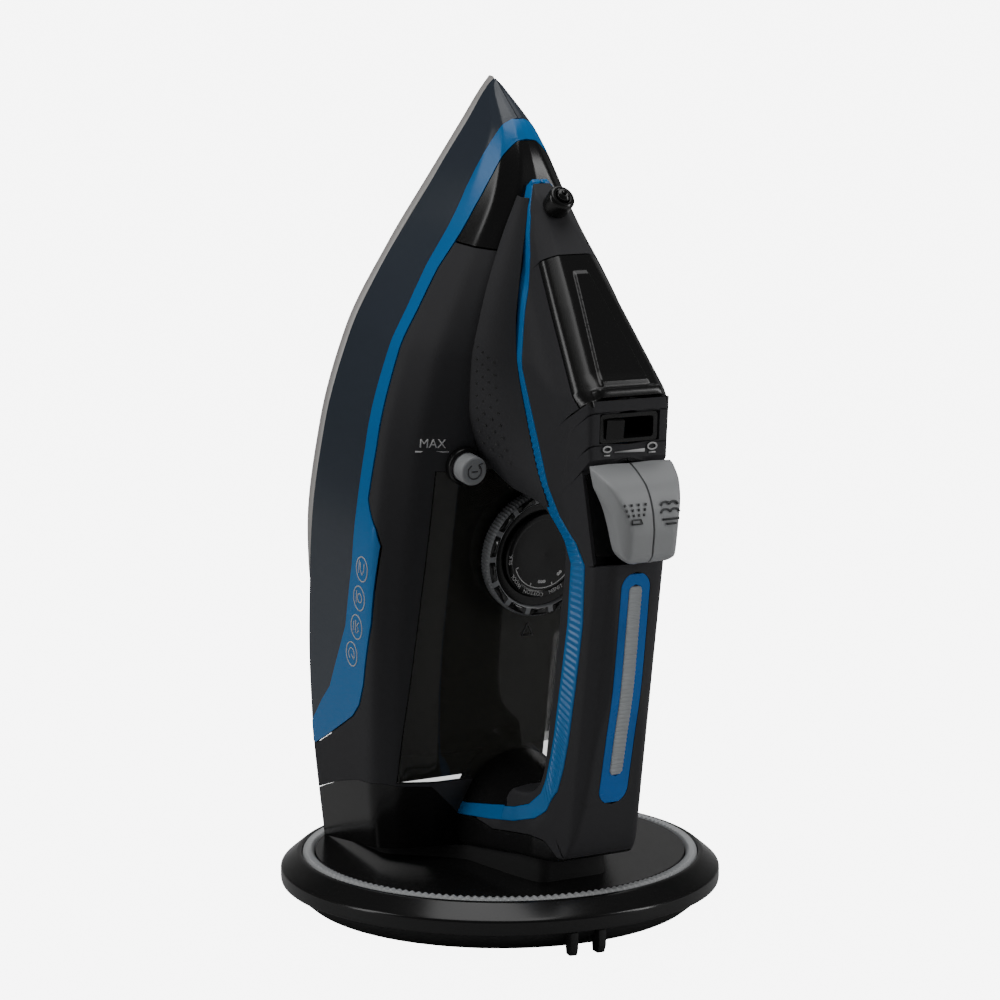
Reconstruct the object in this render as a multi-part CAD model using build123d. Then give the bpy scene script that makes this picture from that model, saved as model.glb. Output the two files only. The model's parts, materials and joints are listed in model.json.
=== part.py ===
from build123d import *
import math
import os

# Cordless steam iron standing on its round charging base, in millimetres.
# The base lies about the world Z axis with its underside at Z = 0.
# The iron is drawn in its own frame: X is the height above the sole (H), Y is across the iron, and
# Z runs along the sole from heel to tip (L). stand() leans that frame back and puts it on the base.

# ---- driving dimensions -------------------------------------------------------------------------
LEAN = 9.0                  # the sole leans back from vertical by this many degrees
HEEL_X = -54.5              # where the sole's heel edge meets the base plate
HEEL_SLOPE = 0.26           # the heel's underside rises this much along the sole for each mm of height
PLATE_Z = 20.0              # top of the base plate
SOLE_LENGTH = 292.0
SOLE_THICK = 5.0
WALL = 2.4                  # moulded shell thickness
GAP = 0.35                  # clearance round a part that moves

BASE_R = 82.5               # outer radius of the base
BASE_BAND = (9.0, 14.6)     # the base's vertical band, from and to
RING_R = (69.5, 74.4)       # clear knurled trim ring
FOOT_R = 6.0
CORD_Z = 5.3                # height of the cord inlet
CORD_R = 2.7                # bore of the cord inlet's bush

DIAL_L = 128.0              # dial centre along the sole
DIAL_R = 24.0
DIAL_CAP_R = 16.3
DIAL_H = (60.8, 66.5)
DIAL_SHAFT_R = 3.0
DECK_H = 59.0               # top of the deck under the handle

CLEAN_L = 162.0             # self-clean button centre
CLEAN_Y = -32.5
CLEAN_R = 5.4
CLEAN_TOP = 66.6

VALVE_L = 190.0             # steam valve rod
VALVE_R = 1.8
SLIDER_AXIS_H = 88.0        # the slider swings about this line, parallel to the sole
SLIDER_REST_DEG = 14.0      # how far to the left of the middle the slider rests

# Half sections of the body, from heel to tip: place along the sole, half width at the sole, height and
# half width where the wall ends, height and half width of the crease beside the deck.
BODY = [
    (-3.0, 47.8, 45.0, 47.0, 57.0, 30.0),
    (50.0, 57.4, 49.0, 56.2, DECK_H, 34.0),
    (90.0, 61.6, 51.0, 60.4, DECK_H, 35.0),
    (130.0, 63.2, 50.0, 62.2, DECK_H, 34.0),
    (165.0, 60.6, 46.0, 59.4, 58.5, 34.0),
    (200.0, 52.4, 40.0, 49.6, 56.0, 31.5),
    (215.0, 45.9, 36.0, 41.0, 53.0, 28.0),
    (228.0, 39.2, 32.0, 33.4, 49.6, 23.0),
    (243.0, 30.0, 28.0, 24.0, 45.0, 16.0),
    (253.0, 24.0, 26.0, 19.0, 42.5, 10.5),
    (263.0, 18.2, 24.0, 15.0, 38.0, 6.5),
    (276.0, 10.2, 20.0, 9.0, 28.5, 3.2),
    (289.0, 2.6, 6.6, 2.5, 9.5, 1.2),
]

# Side outlines are lists of (L, H).
BAND_LOW = [(300, 24), (281, 23.6), (255, 22.5), (228, 25.7), (207, 29.7), (186, 32.3), (165, 35), (143, 36),
            (121, 36), (96, 32.5), (85, 28), (68, 20.4), (60, 13.5), (52, 7.5), (46, 3), (42, -2)]
BAND_HIGH = [(36, -2), (40, 6.5), (48, 18), (56, 29), (68, 42), (77, 45.5), (102, 50), (125, 51), (132, 51.2),
             (138, 49.2), (143, 45.3), (147, 42.8), (167, 42.2), (188, 38.8), (209, 35), (228, 31.5), (250, 30.5),
             (262, 31), (300, 30)]
LOOP_OUTER = [(262, 41), (253, 54), (233, 76), (199, 112.5), (179, 115), (173, 121), (150, 126), (141, 126.5),
              (99, 127.5), (56, 124.8), (37, 122.4), (31, 120), (9.9, 40), (40, 40), (120, 40), (240, 40)]
LOOP_GAP = [(162, 40), (160, 66), (154, 92), (148, 103), (139, 106), (90, 105.5), (60, 104.5), (50, 99),
            (45, 84), (47, 68), (52, 57), (56, 40)]
TRIM_OUTER = [(262, 42), (250, 51), (238, 57.5), (218, 65), (200, 71.5), (180, 84.5), (164, 94.5), (155, 102),
              (148, 112), (141, 117), (120, 118.6), (97, 118), (76, 117), (65, 115.8), (56, 114), (51, 111),
              (46.8, 109), (42, 103.8), (36.5, 92), (31.5, 76.4), (27, 59), (26, 50)]
TRIM_INNER = [(30, 50), (32, 61), (36.5, 75.7), (41.7, 91.3), (45.9, 99.5), (51.9, 104.9), (58, 107), (68, 108.8),
              (76, 109.6), (95, 110.6), (118, 111.6), (140, 110.4), (147, 105), (153, 96.5), (162, 88.5), (178, 78),
              (198, 67), (217, 60.8), (237, 53.2), (249, 47), (261, 39)]


def stand(shape):
    """Leans a shape drawn in the iron's frame and stands it on the base."""
    return Pos(HEEL_X, 0, PLATE_Z) * Rot(0, LEAN, 0) * shape


def largest(shape):
    """The biggest solid of a cut, without the crumbs that a seam leaves."""
    return max(shape.solids(), key=lambda piece: piece.volume)


def save(name, shape):
    """Writes one sub-part."""
    export_step(shape, f"parts/{name}.step")


def side_prism(outline, y_from=-90.0, y_to=90.0):
    """Extrudes an outline of (L, H) points across the iron, between two places in Y."""
    points = [(height, along) for along, height in outline]
    face = make_face(Polyline(*points, close=True))
    prism = extrude(Plane.XZ * face, amount=y_to - y_from, dir=(0, 1, 0))
    return Pos(0, y_from, 0) * prism


def box(low, high):
    """A box from its lowest to its highest corner."""
    size = [b - a for a, b in zip(low, high)]
    return Pos(*low) * Box(*size, align=(Align.MIN, Align.MIN, Align.MIN))


def peg(radius, h_from, h_to, along, across=0.0):
    """A round peg that stands on the sole, between two heights."""
    plane = Plane(origin=(h_from, across, along), x_dir=(0, 1, 0), z_dir=(1, 0, 0))
    return plane * Cylinder(radius, h_to - h_from, align=(Align.CENTER, Align.CENTER, Align.MIN))


def ring(outer, inner, h_from, h_to, along, across=0.0):
    """A round ring that stands on the sole, between two heights."""
    return peg(outer, h_from, h_to, along, across) - peg(inner, h_from - 1, h_to + 1, along, across)


def turned(profile):
    """Turns a profile of (radius, Z) points about the base's axis."""
    return revolve(Plane.XZ * make_face(Polyline(*profile, close=True)), Axis.Z)


# ---- body and handle volumes ----------------------------------------------------------------------
# The front of the column is a flat slope from the nozzle up to the slider's window.
SLOPE = Plane(origin=(54, 0, 253), x_dir=(0, -1, 0), z_dir=(0.679, 0, 0.734))
DOOR_FROM, DOOR_TO = 19.0, 79.5     # the fill door's place along the slope
HINGE_IN = 2.4                      # the hinge pin's distance from the door's lower end
HINGE_PIN_R = 1.0
HINGE_BARREL_R = 2.35               # the door's lower end is rounded about the pin


def body_section(along, width, wall_top, wall_width, crease, deck, inset, low):
    """One section of the body: upright wall, rounded shoulder, flat deck."""
    lean_in = (width - wall_width) * (low - SOLE_THICK) / (wall_top - SOLE_THICK)
    w = max(width - lean_in - inset, 0.9)
    wall_w = max(wall_width - inset, 0.8)
    d = max(deck - 0.7 * inset, 0.4)
    top = crease - inset
    wall = min(wall_top - 0.4 * inset, top - 1.0)
    shoulder_w = d + 0.62 * (wall_w - d)
    shoulder_h = wall + 0.66 * (top - wall)
    half = [(low, w), (wall, wall_w), (shoulder_h, shoulder_w), (top, d)]
    points = half + [(h, -y) for h, y in reversed(half)]
    return Plane.XY.offset(along) * make_face(Polyline(*points, close=True))


def body_volume(inset=0.0, low=SOLE_THICK, stations=BODY):
    """The solid body above the soleplate, or a smaller copy of it that hollows a shell."""
    return loft([body_section(*station, inset, low) for station in stations], ruled=True)


def handle_section(inset):
    """The handle's faceted section, the same all along the iron."""
    half = [(30, 30 - inset), (62, 27 - inset), (72, 19.5 - inset), (104, 19 - inset), (114, 16.2 - inset),
            (121.5 - 0.6 * inset, 14.4 - 0.8 * inset), (125.8 - inset, 10.4 - 0.6 * inset),
            (127.6 - inset, 6.2 - 0.5 * inset)]
    points = half + [(h, -y) for h, y in reversed(half)]
    return extrude(Plane.XY.offset(-5) * make_face(Polyline(*points, close=True)), amount=280, dir=(0, 0, 1))


def loop_plan(inset):
    """The outline of the handle and its column, seen from above the handle."""
    half = [(4, 17 - inset), (20, 24 - inset), (46, 16.2 - inset), (146, 16.2 - inset), (166, 19.5 - inset),
            (203, 19.2 - inset), (232, 13.4 - inset), (253, 7.4 - inset), (263 - inset, 2.2)]
    points = [(-y, z) for z, y in half] + [(y, z) for z, y in reversed(half)]
    return extrude(Plane.YZ.offset(30) * make_face(Polyline(*points, close=True)), amount=110, dir=(1, 0, 0))


def column_front(inset):
    """Rounds off both edges of the column's sloping front; it leaves the rest of the handle alone."""
    sections = []
    for s, flat, full in [(-30, 3.0, 8.0), (0, 4.2, 9.0), (40, 9.2, 14.6), (79, 13.8, 19.6), (83, 50, 50), (270, 50, 50)]:
        top = 90.0 if s > 80 else -inset
        half = [(-260, 50), (-60, 34), (-14, full + 1 - inset), (-5 - inset, full - inset),
                (top, flat - 0.5 * inset)]
        points = [(y, -n) for n, y in half] + [(-y, -n) for n, y in reversed(half)]
        plane = Plane(origin=SLOPE.from_local_coords((0, s, 0)), x_dir=(0, -1, 0), z_dir=SLOPE.y_dir)
        sections.append(plane * make_face(Polyline(*points, close=True)))
    return loft(sections, ruled=True)


def outline_face(outline):
    return make_face(Polyline(*[(height, along) for along, height in outline], close=True))


def loop_volume(inset=0.0):
    """The handle, its column and its rear leg as one bridge over the deck."""
    outer = outline_face(LOOP_OUTER)
    hole = outline_face(LOOP_GAP)
    if inset:
        outer = offset(outer, -inset, kind=Kind.INTERSECTION)
        hole = offset(hole, inset, kind=Kind.INTERSECTION)
    side = Pos(0, -45, 0) * extrude(Plane.XZ * (outer - hole), amount=90, dir=(0, 1, 0))
    return side & handle_section(inset) & loop_plan(inset) & column_front(inset)


def heel_cut(rise):
    """Everything behind the heel's sloping underside, moved up by a distance along the sole."""
    low, high = -20.0, 150.0
    return side_prism([(-60, low), (-60, high), (HEEL_SLOPE * high - 0.5 + rise, high),
                       (HEEL_SLOPE * low - 0.5 + rise, low)])


def foot_volume(inset=0.0):
    """The handle's rear foot, which spreads out to meet the body."""
    outline = [(9 + inset, 46), (18 + inset, 78), (24 + inset, 104), (41 - inset, 102), (44 - inset, 92),
               (44 - inset, 84), (46 - inset, 68), (51 - inset, 57), (52 - inset, 46)]
    half = [(40, 27 - inset), (58, 24 - inset), (74, 21.8 - inset), (84, 20.6 - inset), (93, 19.7 - inset),
            (101, 18.4 - inset)]
    points = half + [(h, -y) for h, y in reversed(half)]
    section = extrude(Plane.XY * make_face(Polyline(*points, close=True)), amount=90, dir=(0, 0, 1))
    return side_prism(outline) & section


body = body_volume() - heel_cut(0)
body_core = body_volume(WALL, SOLE_THICK - 3, BODY[:-1]) - heel_cut(3)
loop = loop_volume() - heel_cut(0) - body
loop_core = loop_volume(WALL) - heel_cut(3)
loop_shell = loop - loop_core
foot = foot_volume() - heel_cut(0) - body - loop_volume()
foot_shell = foot - foot_volume(WALL)



def slope_prism(half_low, half_high, s_from, s_to, n_from, n_to):
    """A tapered block on the column's sloping front, between two distances along it."""
    face = make_face(Polyline((-half_low, s_from), (half_low, s_from), (half_high, s_to), (-half_high, s_to),
                              close=True))
    return SLOPE * (Pos(0, 0, n_from) * extrude(face, amount=n_to - n_from, dir=(0, 0, 1)))


# ---- charging base --------------------------------------------------------------------------------
def base_tray():
    tray = turned([(0, 1.2), (71, 1.2), (72.4, 2.0), (79.4, 9.0), (76.8, 9.0), (70.6, 3.6), (0, 3.6)])
    tray += Cylinder(16, 1.3, align=(Align.CENTER, Align.CENTER, Align.MIN))
    for x, y in FEET:
        tray -= Pos(x, y, 0) * Cylinder(FOOT_R + 0.1, 2.2, align=(Align.CENTER, Align.CENTER, Align.MIN))
    for x, y in BASE_SCREWS:
        tray += Pos(x, y, 3.5) * (Cylinder(3.6, 11, align=(Align.CENTER, Align.CENTER, Align.MIN)))
        tray -= Pos(x, y, 0) * Cylinder(1.7, 30)
        tray -= Pos(x, y, 0) * Cylinder(3.1, 3.0, align=(Align.CENTER, Align.CENTER, Align.MIN))
    inlet = Pos(-76, 0, CORD_Z) * Box(16, 10.2, 6.8)
    for clip in cord_clips():
        tray += clip
    return tray - inlet


def base_rim():
    low, high = BASE_BAND
    rim = turned([(79.5, low), (BASE_R, low), (BASE_R, high), (75.6, 19.7), (RING_R[1] + 0.1, 19.7),
                  (RING_R[1] + 0.1, 17.2), (RING_R[0], 17.2), (RING_R[0], 15.2), (74.0, 15.2), (79.5, 12.4)])
    return rim


def base_plate():
    plate = turned([(0, 17.6), (RING_R[0] - 0.1, 17.6), (RING_R[0] - 0.1, PLATE_Z), (0, PLATE_Z)])
    return plate - connector_block(0.3)


def trim_ring():
    inner, outer = RING_R
    band = turned([(inner, 17.3), (outer, 17.3), (outer, 19.4), (outer - 0.8, 20.2), (inner + 0.8, 20.2),
                   (inner, 19.4)])
    return band


def cradle():
    """A raised saddle that follows the heel's underside, with a low wall round it."""
    half = [(-53.0, 52.5), (-6.0, 52.5), (6.0, 36.0), (20.0, 27.0), (72.0, 22.0)]
    plan = make_face(Polyline(*[(x, -y) for x, y in half], *[(x, y) for x, y in reversed(half)], close=True))
    block = Pos(0, 0, PLATE_Z) * extrude(plan, amount=20.0, dir=(0, 0, 1))
    block &= Pos(0, 0, PLATE_Z) * Cylinder(RING_R[0] - 0.3, 80)
    wedge = side_prism([(-60, -20), (-60, 150), (HEEL_SLOPE * 150 + 3.0, 150), (HEEL_SLOPE * -20 + 3.0, -20)])
    block &= stand(wedge)
    heel = stand((body_volume(0, SOLE_THICK - 1) + loop_volume() + foot_volume()) - heel_cut(0))
    for dx, dy, dz in [(0, 0, -0.6), (0.9, 0, -0.3), (-0.9, 0, -0.3), (0, 0.9, -0.3), (0, -0.9, -0.3), (0, 0, 3),
                       (0, 0, 6)]:
        block -= Pos(dx, dy, dz) * heel
    block -= connector_block(0.3)
    return largest(block)


def connector_block(grow=0.0):
    """The raised connector that the iron's heel drops over."""
    low = (-26 - grow, -17 - grow, 8.0 - grow)
    return box(low, (-6 + grow, 17 + grow, 31.0 + grow))


def dock_connector():
    block = connector_block()
    for y in CONTACT_Y:
        block -= Pos(-16, y, 27) * Box(8, 3.2, 8.1)
    return block


def dock_contacts():
    return [Pos(-16, y, 26.9) * Box(7.8, 1.6, 7.6) for y in CONTACT_Y]


def cord_clips():
    """Two thin hooks under the rim that hold a wound cord."""
    clips = []
    for turn in (-3.8, 3.8):
        fin = make_face(Polyline((76.0, 8.9), (82.3, 8.9), (82.3, 3.2), (80.9, 0.0), (77.0, 0.0), (76.0, 5.4),
                                 close=True))
        clip = Pos(0, 1.4, 0) * extrude(Plane.XZ * fin, amount=2.8, dir=(0, -1, 0))
        clips.append(Rot(0, 0, CLIP_DEG + turn) * clip)
    return clips


FEET = [(58 * math.cos(math.radians(a)), 58 * math.sin(math.radians(a))) for a in (45, 135, 225, 315)]
BASE_SCREWS = [(50 * math.cos(math.radians(a)), 50 * math.sin(math.radians(a))) for a in (0, 120, 240)]
CONTACT_Y = (-10.0, 0.0, 10.0)
CLIP_DEG = -8.4


def build_base():
    tray = base_tray()
    save("base_tray", tray)
    save("base_rim", base_rim())
    save("base_top_plate", base_plate())
    save("base_trim_ring", trim_ring())
    save("dock_cradle", cradle())
    save("dock_connector", dock_connector())
    save("dock_contacts", Compound(dock_contacts()))
    feet = [Pos(x, y, 0) * Cylinder(FOOT_R, 2.2, align=(Align.CENTER, Align.CENTER, Align.MIN)) for x, y in FEET]
    save("base_feet", Compound(feet))
    screws = []
    for x, y in BASE_SCREWS:
        shank = Pos(x, y, 2.0) * Cylinder(1.6, 11, align=(Align.CENTER, Align.CENTER, Align.MIN))
        head = Pos(x, y, 1.6) * Cylinder(3.0, 1.4, align=(Align.CENTER, Align.CENTER, Align.MIN))
        screws.append(shank + head)
    save("base_screws", Compound(screws))
    bush = Pos(-75.5, 0, CORD_Z) * Box(9, 10, 6.6) - Pos(-76, 0, CORD_Z) * Rot(0, 90, 0) * Cylinder(CORD_R, 30)
    save("cord_inlet_bush", bush)
    terminal = box((-50, -11, 3.8), (-32, 11, 12))
    for y in (-6.5, 0, 6.5):
        terminal -= Pos(-41, y, 12) * Cylinder(2.0, 6)
    save("terminal_block", terminal)


# ---- sole and heater ------------------------------------------------------------------------------
def sole_outline(inset, heel):
    """The soleplate's outline: a rounded heel, full flanks and a drawn-out tip, as a flat face."""
    right = [(heel, 42 - inset), (heel + 13, 54.5 - inset), (heel + 34, 60.8 - inset), (heel + 57, 62.4 - inset),
             (165, 59.8 - inset), (200, 52.2 - inset), (232, 36.4 - inset), (256, 22.0 - 0.9 * inset),
             (276, 9.8 - 0.75 * inset), (SOLE_LENGTH - 1.3 * inset, 0)]
    flank = Spline(*[(y, z) for z, y in right])
    other = Spline(*[(-y, z) for z, y in right])
    edges = [flank, other, Line((-right[0][1], heel), (right[0][1], heel))]
    return make_face(edges)


def sole_slab(inset, heel, h_from, h_to):
    return extrude(Plane.YZ.offset(h_from) * sole_outline(inset, heel), amount=h_to - h_from, dir=(1, 0, 0))


def steam_holes():
    """Rows of steam holes along both flanks and across the tip of the soleplate."""
    holes = []
    for along, across in [(258, 5), (240, 13), (222, 22), (204, 30), (186, 37), (168, 42), (150, 45), (132, 46.5),
                          (114, 46)]:
        for side in (-1, 1):
            holes.append(peg(1.7, -1, SOLE_THICK + 1, along, side * across))
            holes.append(peg(1.2, -1, SOLE_THICK + 1, along - 8, side * (across - 5)))
    return holes


def heater_path(h):
    """The U-shaped line of the heating element, with its ends at the heel."""
    plane = Plane.YZ.offset(h)
    return plane * FilletPolyline((-26, 92), (-26, 176), (0, 232), (26, 176), (26, 92), radius=11)


def heater_tube(radius, h):
    path = heater_path(h)
    start = Plane(origin=path @ 0, z_dir=path % 0)
    return sweep(start * Circle(radius), path=path, transition=Transition.ROUND)


def build_heater():
    save("soleplate", stand(sole_slab(0, 75, 0, SOLE_THICK) - Compound(steam_holes())))
    tube = heater_tube(3.6, 13.2)
    groove = heater_tube(3.7, 13.2)
    casting = sole_slab(12, 84, SOLE_THICK, 14.0) - box((0, -40, 252), (30, 40, 300))
    chamber = Polyline((-17, 106), (-17, 172), (-9, 194), (9, 194), (17, 172), (17, 106), close=True)
    casting -= extrude(Plane.YZ.offset(9) * make_face(chamber), amount=6, dir=(1, 0, 0))
    for side in (-1, 1):
        casting += peg(5.0, 8.0, 14.0, 124, side * 8)
    casting -= groove
    save("heater_casting", stand(casting))
    save("heating_element", stand(tube))
    cover = sole_slab(15, 86, 14.0, 15.6) - box((0, -40, 250), (30, 40, 300))
    cover -= groove
    cover -= peg(1.2, 0, 40, VALVE_L)
    save("steam_chamber_cover", stand(cover))
    block = box((15.6, -9, DIAL_L - 13), (20, 9, DIAL_L + 13)) + peg(8, 20, 25, DIAL_L)
    save("thermostat", stand(block - peg(DIAL_SHAFT_R + 0.05, 22, 30, DIAL_L)))
    fuse = Pos(19.4, 0, 96) * Cylinder(3.2, 16)
    save("thermal_fuse", stand(fuse & box((15.8, -6, 80), (30, 6, 110))))
    shield = sole_slab(9, 80, 25.4, 26.6) - peg(11, 20, 30, DIAL_L) - peg(4, 20, 30, VALVE_L)
    save("heat_shield", stand(shield & body_volume(WALL + 1.2, SOLE_THICK, BODY[:-1])))


# ---- body shells ----------------------------------------------------------------------------------
def band_zone():
    return side_prism(BAND_LOW + BAND_HIGH)


def below_band():
    return side_prism(BAND_LOW + [(20, -2), (-30, -2), (-30, -30), (320, -30), (320, 24.5)])


def dark_tank_zone():
    """The long window of smoky plastic that shows the water, with the deck between its sides."""
    face = make_face(Polyline((-47.5, 36), (47.5, 36), (47.5, 60), (42.5, 160), (-42.5, 160), (-47.5, 60),
                              close=True))
    return extrude(Plane.YZ.offset(30) * face, amount=50, dir=(1, 0, 0))


def nose_zone():
    return side_prism([(236, 30), (246, 70), (320, 70), (320, 20), (250, 20)])


def heel_zone():
    return side_prism([(-40, -30), (-40, 140), (31.5, 140), (31.5, 119), (35.3, 109), (35, 103), (29.5, 80),
                       (29, 61), (37, 58), (39.5, 50), (36.5, 37), (30.5, 23), (21, 5), (18.5, -30)])


DIAL_HOLE = peg(DIAL_SHAFT_R + 0.4, 20, 80, DIAL_L)
CLEAN_HOLE = peg(CLEAN_R + GAP, 40, 80, CLEAN_L, CLEAN_Y)


def build_body():
    shell = body - body_core
    low_zone = below_band()
    band = band_zone()
    heel = heel_zone()
    skirt = (shell & low_zone) - heel
    save("skirt", stand(skirt))
    blue = (shell & band) - heel
    save("side_band", stand(blue))
    top = shell - low_zone - band - heel
    deck = (top & dark_tank_zone()) - DIAL_HOLE - CLEAN_HOLE
    save("tank_window", stand(deck))
    nose = (top & nose_zone())
    save("nose_panel", stand(nose))
    upper = top - dark_tank_zone() - nose_zone() - CLEAN_HOLE - neck_cylinder(9.3)
    upper -= peg(VALVE_R + 0.6, 40, 80, VALVE_L)
    save("upper_shell", stand(upper))
    socket = Pos(0, 0, 12) * connector_block(0.8) + connector_block(0.8)
    cover = stand((shell + loop_shell + foot_shell) & heel) - socket
    save("heel_cover", cover)
    under = box((SOLE_THICK, -46, 19), (SOLE_THICK + 2.2, 46, 73)) & body_volume(WALL + 0.6, 0, BODY)
    save("rear_underpan", stand(under))
    contacts = [Pos(-16, y, 34.4) * Box(7.0, 1.4, 5.0) for y in CONTACT_Y]
    holder = (Pos(-16, 0, 38.6) * Box(18, 30, 3.4))
    save("heel_contacts", Compound(contacts))
    save("contact_carrier", holder)


NECK_S = 40.0               # the fill neck's place along the slope


def neck_cylinder(radius):
    """A cylinder along the fill neck, from under the fill door down into the tank."""
    return SLOPE * (Pos(0, NECK_S, -36) * Cylinder(radius, 30, align=(Align.CENTER, Align.CENTER, Align.MIN)))


# ---- water system ---------------------------------------------------------------------------------
def build_water():
    stations = [s for s in BODY if 40 < s[0] < 210]
    outer = body_volume(WALL + 0.9, 27.5, stations)
    inner = body_volume(WALL + 2.7, 29.5, stations) & box((0, -80, 53), (100, 80, 197))
    sleeve = peg(DIAL_SHAFT_R + 2.4, 27.5, 70, DIAL_L) + peg(VALVE_R + 2.4, 27.5, 70, VALVE_L)
    outer_limit = outer
    tank = (outer - inner) + (sleeve & outer_limit)
    tank -= peg(DIAL_SHAFT_R + 0.5, 20, 80, DIAL_L) + peg(VALVE_R + 0.5, 20, 80, VALVE_L)
    tank -= neck_cylinder(9.3)
    tank -= peg(CLEAN_R + 3.0, 44, 80, CLEAN_L, CLEAN_Y)
    tank += (ring(CLEAN_R + 4.6, CLEAN_R + 3.0, 44, 70, CLEAN_L, CLEAN_Y) + peg(CLEAN_R + 4.6, 42.4, 44, CLEAN_L,
                                                                             CLEAN_Y)) & outer
    save("water_tank", stand(tank))
    neck = neck_cylinder(9.0) - neck_cylinder(7.4)
    save("fill_neck", stand(neck - SLOPE * Pos(0, NECK_S, 24) * Box(60, 60, 60)))
    seat_ring = ring(4.6, VALVE_R + 0.3, 22, 25.4, VALVE_L)
    save("steam_valve_seat", stand(seat_ring))


# ---- handle ---------------------------------------------------------------------------------------
STRIP_L = (53.0, 140.5)     # blue strip along the top of the handle
STRIP_HALF = 6.0
LENS_L = (64.0, 136.0)
LENS_HALF = 2.6


def stadium(l_from, l_to, half):
    """A round-ended prism that stands over the handle's top."""
    slot = SlotOverall(l_to - l_from, 2 * half, rotation=90)
    return Plane.YZ.offset(118) * (Pos(0, (l_from + l_to) / 2) * extrude(slot, amount=20, dir=(0, 0, 1)))


def button_bay():
    return side_prism([(179, 110.4), (179, 145), (143.2, 145), (143.2, 120.6)], -22, 22)


def slider_bay():
    return side_prism([(194.5, 104), (194.5, 125), (183.5, 125), (183.5, 104)], -12.2, 12.2)


def door_bay(grow):
    return slope_prism(10.5 + grow, 19.2 + grow, DOOR_FROM - grow, DOOR_TO + grow, -6, 14)


def wide_door(grow):
    """The door's block, wider than the column where the door wraps round its flanks."""
    return slope_prism(12 + grow, 30, DOOR_FROM - grow, DOOR_TO + grow, -5.4 - grow, 14)


def build_handle():
    trim_zone = side_prism(TRIM_OUTER + TRIM_INNER)
    trim_skin = (loop_shell + foot_shell) & trim_zone
    trim_zone_skin = trim_skin - box((0, -13.2, 0), (200, 13.2, 200)) - heel_zone()
    plain = loop_shell + foot_shell - heel_zone() - trim_zone_skin - stadium(*STRIP_L, STRIP_HALF) - button_bay() - slider_bay()
    plain = plain - wide_door(GAP) - nozzle_bore()
    inner_leg = side_prism([(60, 40), (30, 40), (32, 61), (36.5, 75.7), (41.7, 91.3), (45.9, 99.5), (51.9, 104.9),
                            (58, 107), (62, 107.7), (62, 66)])
    rear = plain & inner_leg
    plain = plain - inner_leg
    half = box((0, 0, -20), (200, 90, 320))
    save("handle_right_shell", stand(largest(plain & half)))
    save("handle_left_shell", stand(largest(plain - half)))
    save("handle_rear_foot", stand(rear))
    save("handle_trim", stand(trim_zone_skin))
    strip = (loop_shell & stadium(*STRIP_L, STRIP_HALF)) - stadium(*LENS_L, LENS_HALF)
    save("handle_strip", stand(strip))
    save("strip_lens", stand(loop_shell & stadium(*LENS_L, LENS_HALF)))
    save("indicator_board", stand(box((116.5, -5, 62), (118.1, 5, 138))))


def cheek_volume():
    """Shoulder panels that rise from the deck's crease to the column, ending in a prow over the dial."""
    sections = []
    for along, low_h, low_y, high_h, high_y in [(156, 72, 19.6, 97, 19.6), (168, 59.5, 27, 87, 20),
                                                (184, 58.3, 31.5, 78, 20), (200, 56.6, 31.5, 69, 20),
                                                (228, 50.4, 22.8, 61.5, 16), (243, 45.8, 16, 55, 12),
                                                (256, 42.8, 9.6, 48, 7)]:
        points = [(low_h, 2), (low_h, low_y), (high_h, high_y), (high_h + 0.5, 2)]
        sections.append(Plane.XY.offset(along) * make_face(Polyline(*points, close=True)))
    return loft(sections, ruled=True)


def build_cheeks():
    right = cheek_volume() - body - loop_volume() - wide_door(GAP)
    right = right - peg(CLEAN_R + 1.2, 40, 80, CLEAN_L, -CLEAN_Y)
    right = largest(right)
    save("cheek_panel_right", stand(right))
    save("cheek_panel_left", stand(mirror(right, Plane.XZ)))


def nozzle_bore():
    return SLOPE * (Pos(0, -1, -1) * Cylinder(5.2, 20))


def build_front():
    bezel = SLOPE * (Pos(0, -1, 0.5) * (Cylinder(5.1, 7) - Cylinder(2.7, 8)))
    save("spray_nozzle_body", stand(bezel))
    save("spray_nozzle_tip", stand(SLOPE * (Pos(0, -1, 2.2) * (Cylinder(2.6, 7) - Cylinder(0.5, 8)))))
    swing_room = slope_prism(30, 30, DOOR_FROM + HINGE_IN, DOOR_TO + 5, -9, 14) + door_pin(HINGE_BARREL_R - HINGE_PIN_R)
    door = (loop_shell & wide_door(0) & swing_room) - door_pin(0.06)
    lip = slope_prism(13.0, 13.8, DOOR_TO - 3.0, DOOR_TO + 1.6, 0, 1.8) - loop_volume()
    door = largest(door + lip)
    save("fill_door", stand(door))
    save("door_hinge_pin", stand(door_pin(0.0)))
    seal = SLOPE * (Pos(0, NECK_S, -4.6) * (Cylinder(9.0, 2.0) - Cylinder(7.4, 3.0)))
    save("door_seal", stand(seal & loop_core))


def door_pin(grow):
    """The hinge pin across the door's lower end, or a longer and thicker bar about it."""
    plane = Plane(origin=SLOPE.from_local_coords((0, DOOR_FROM + HINGE_IN, -2.0)), z_dir=(0, 1, 0))
    return plane * Cylinder(HINGE_PIN_R + grow, 17 + 10 * grow)


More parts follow.
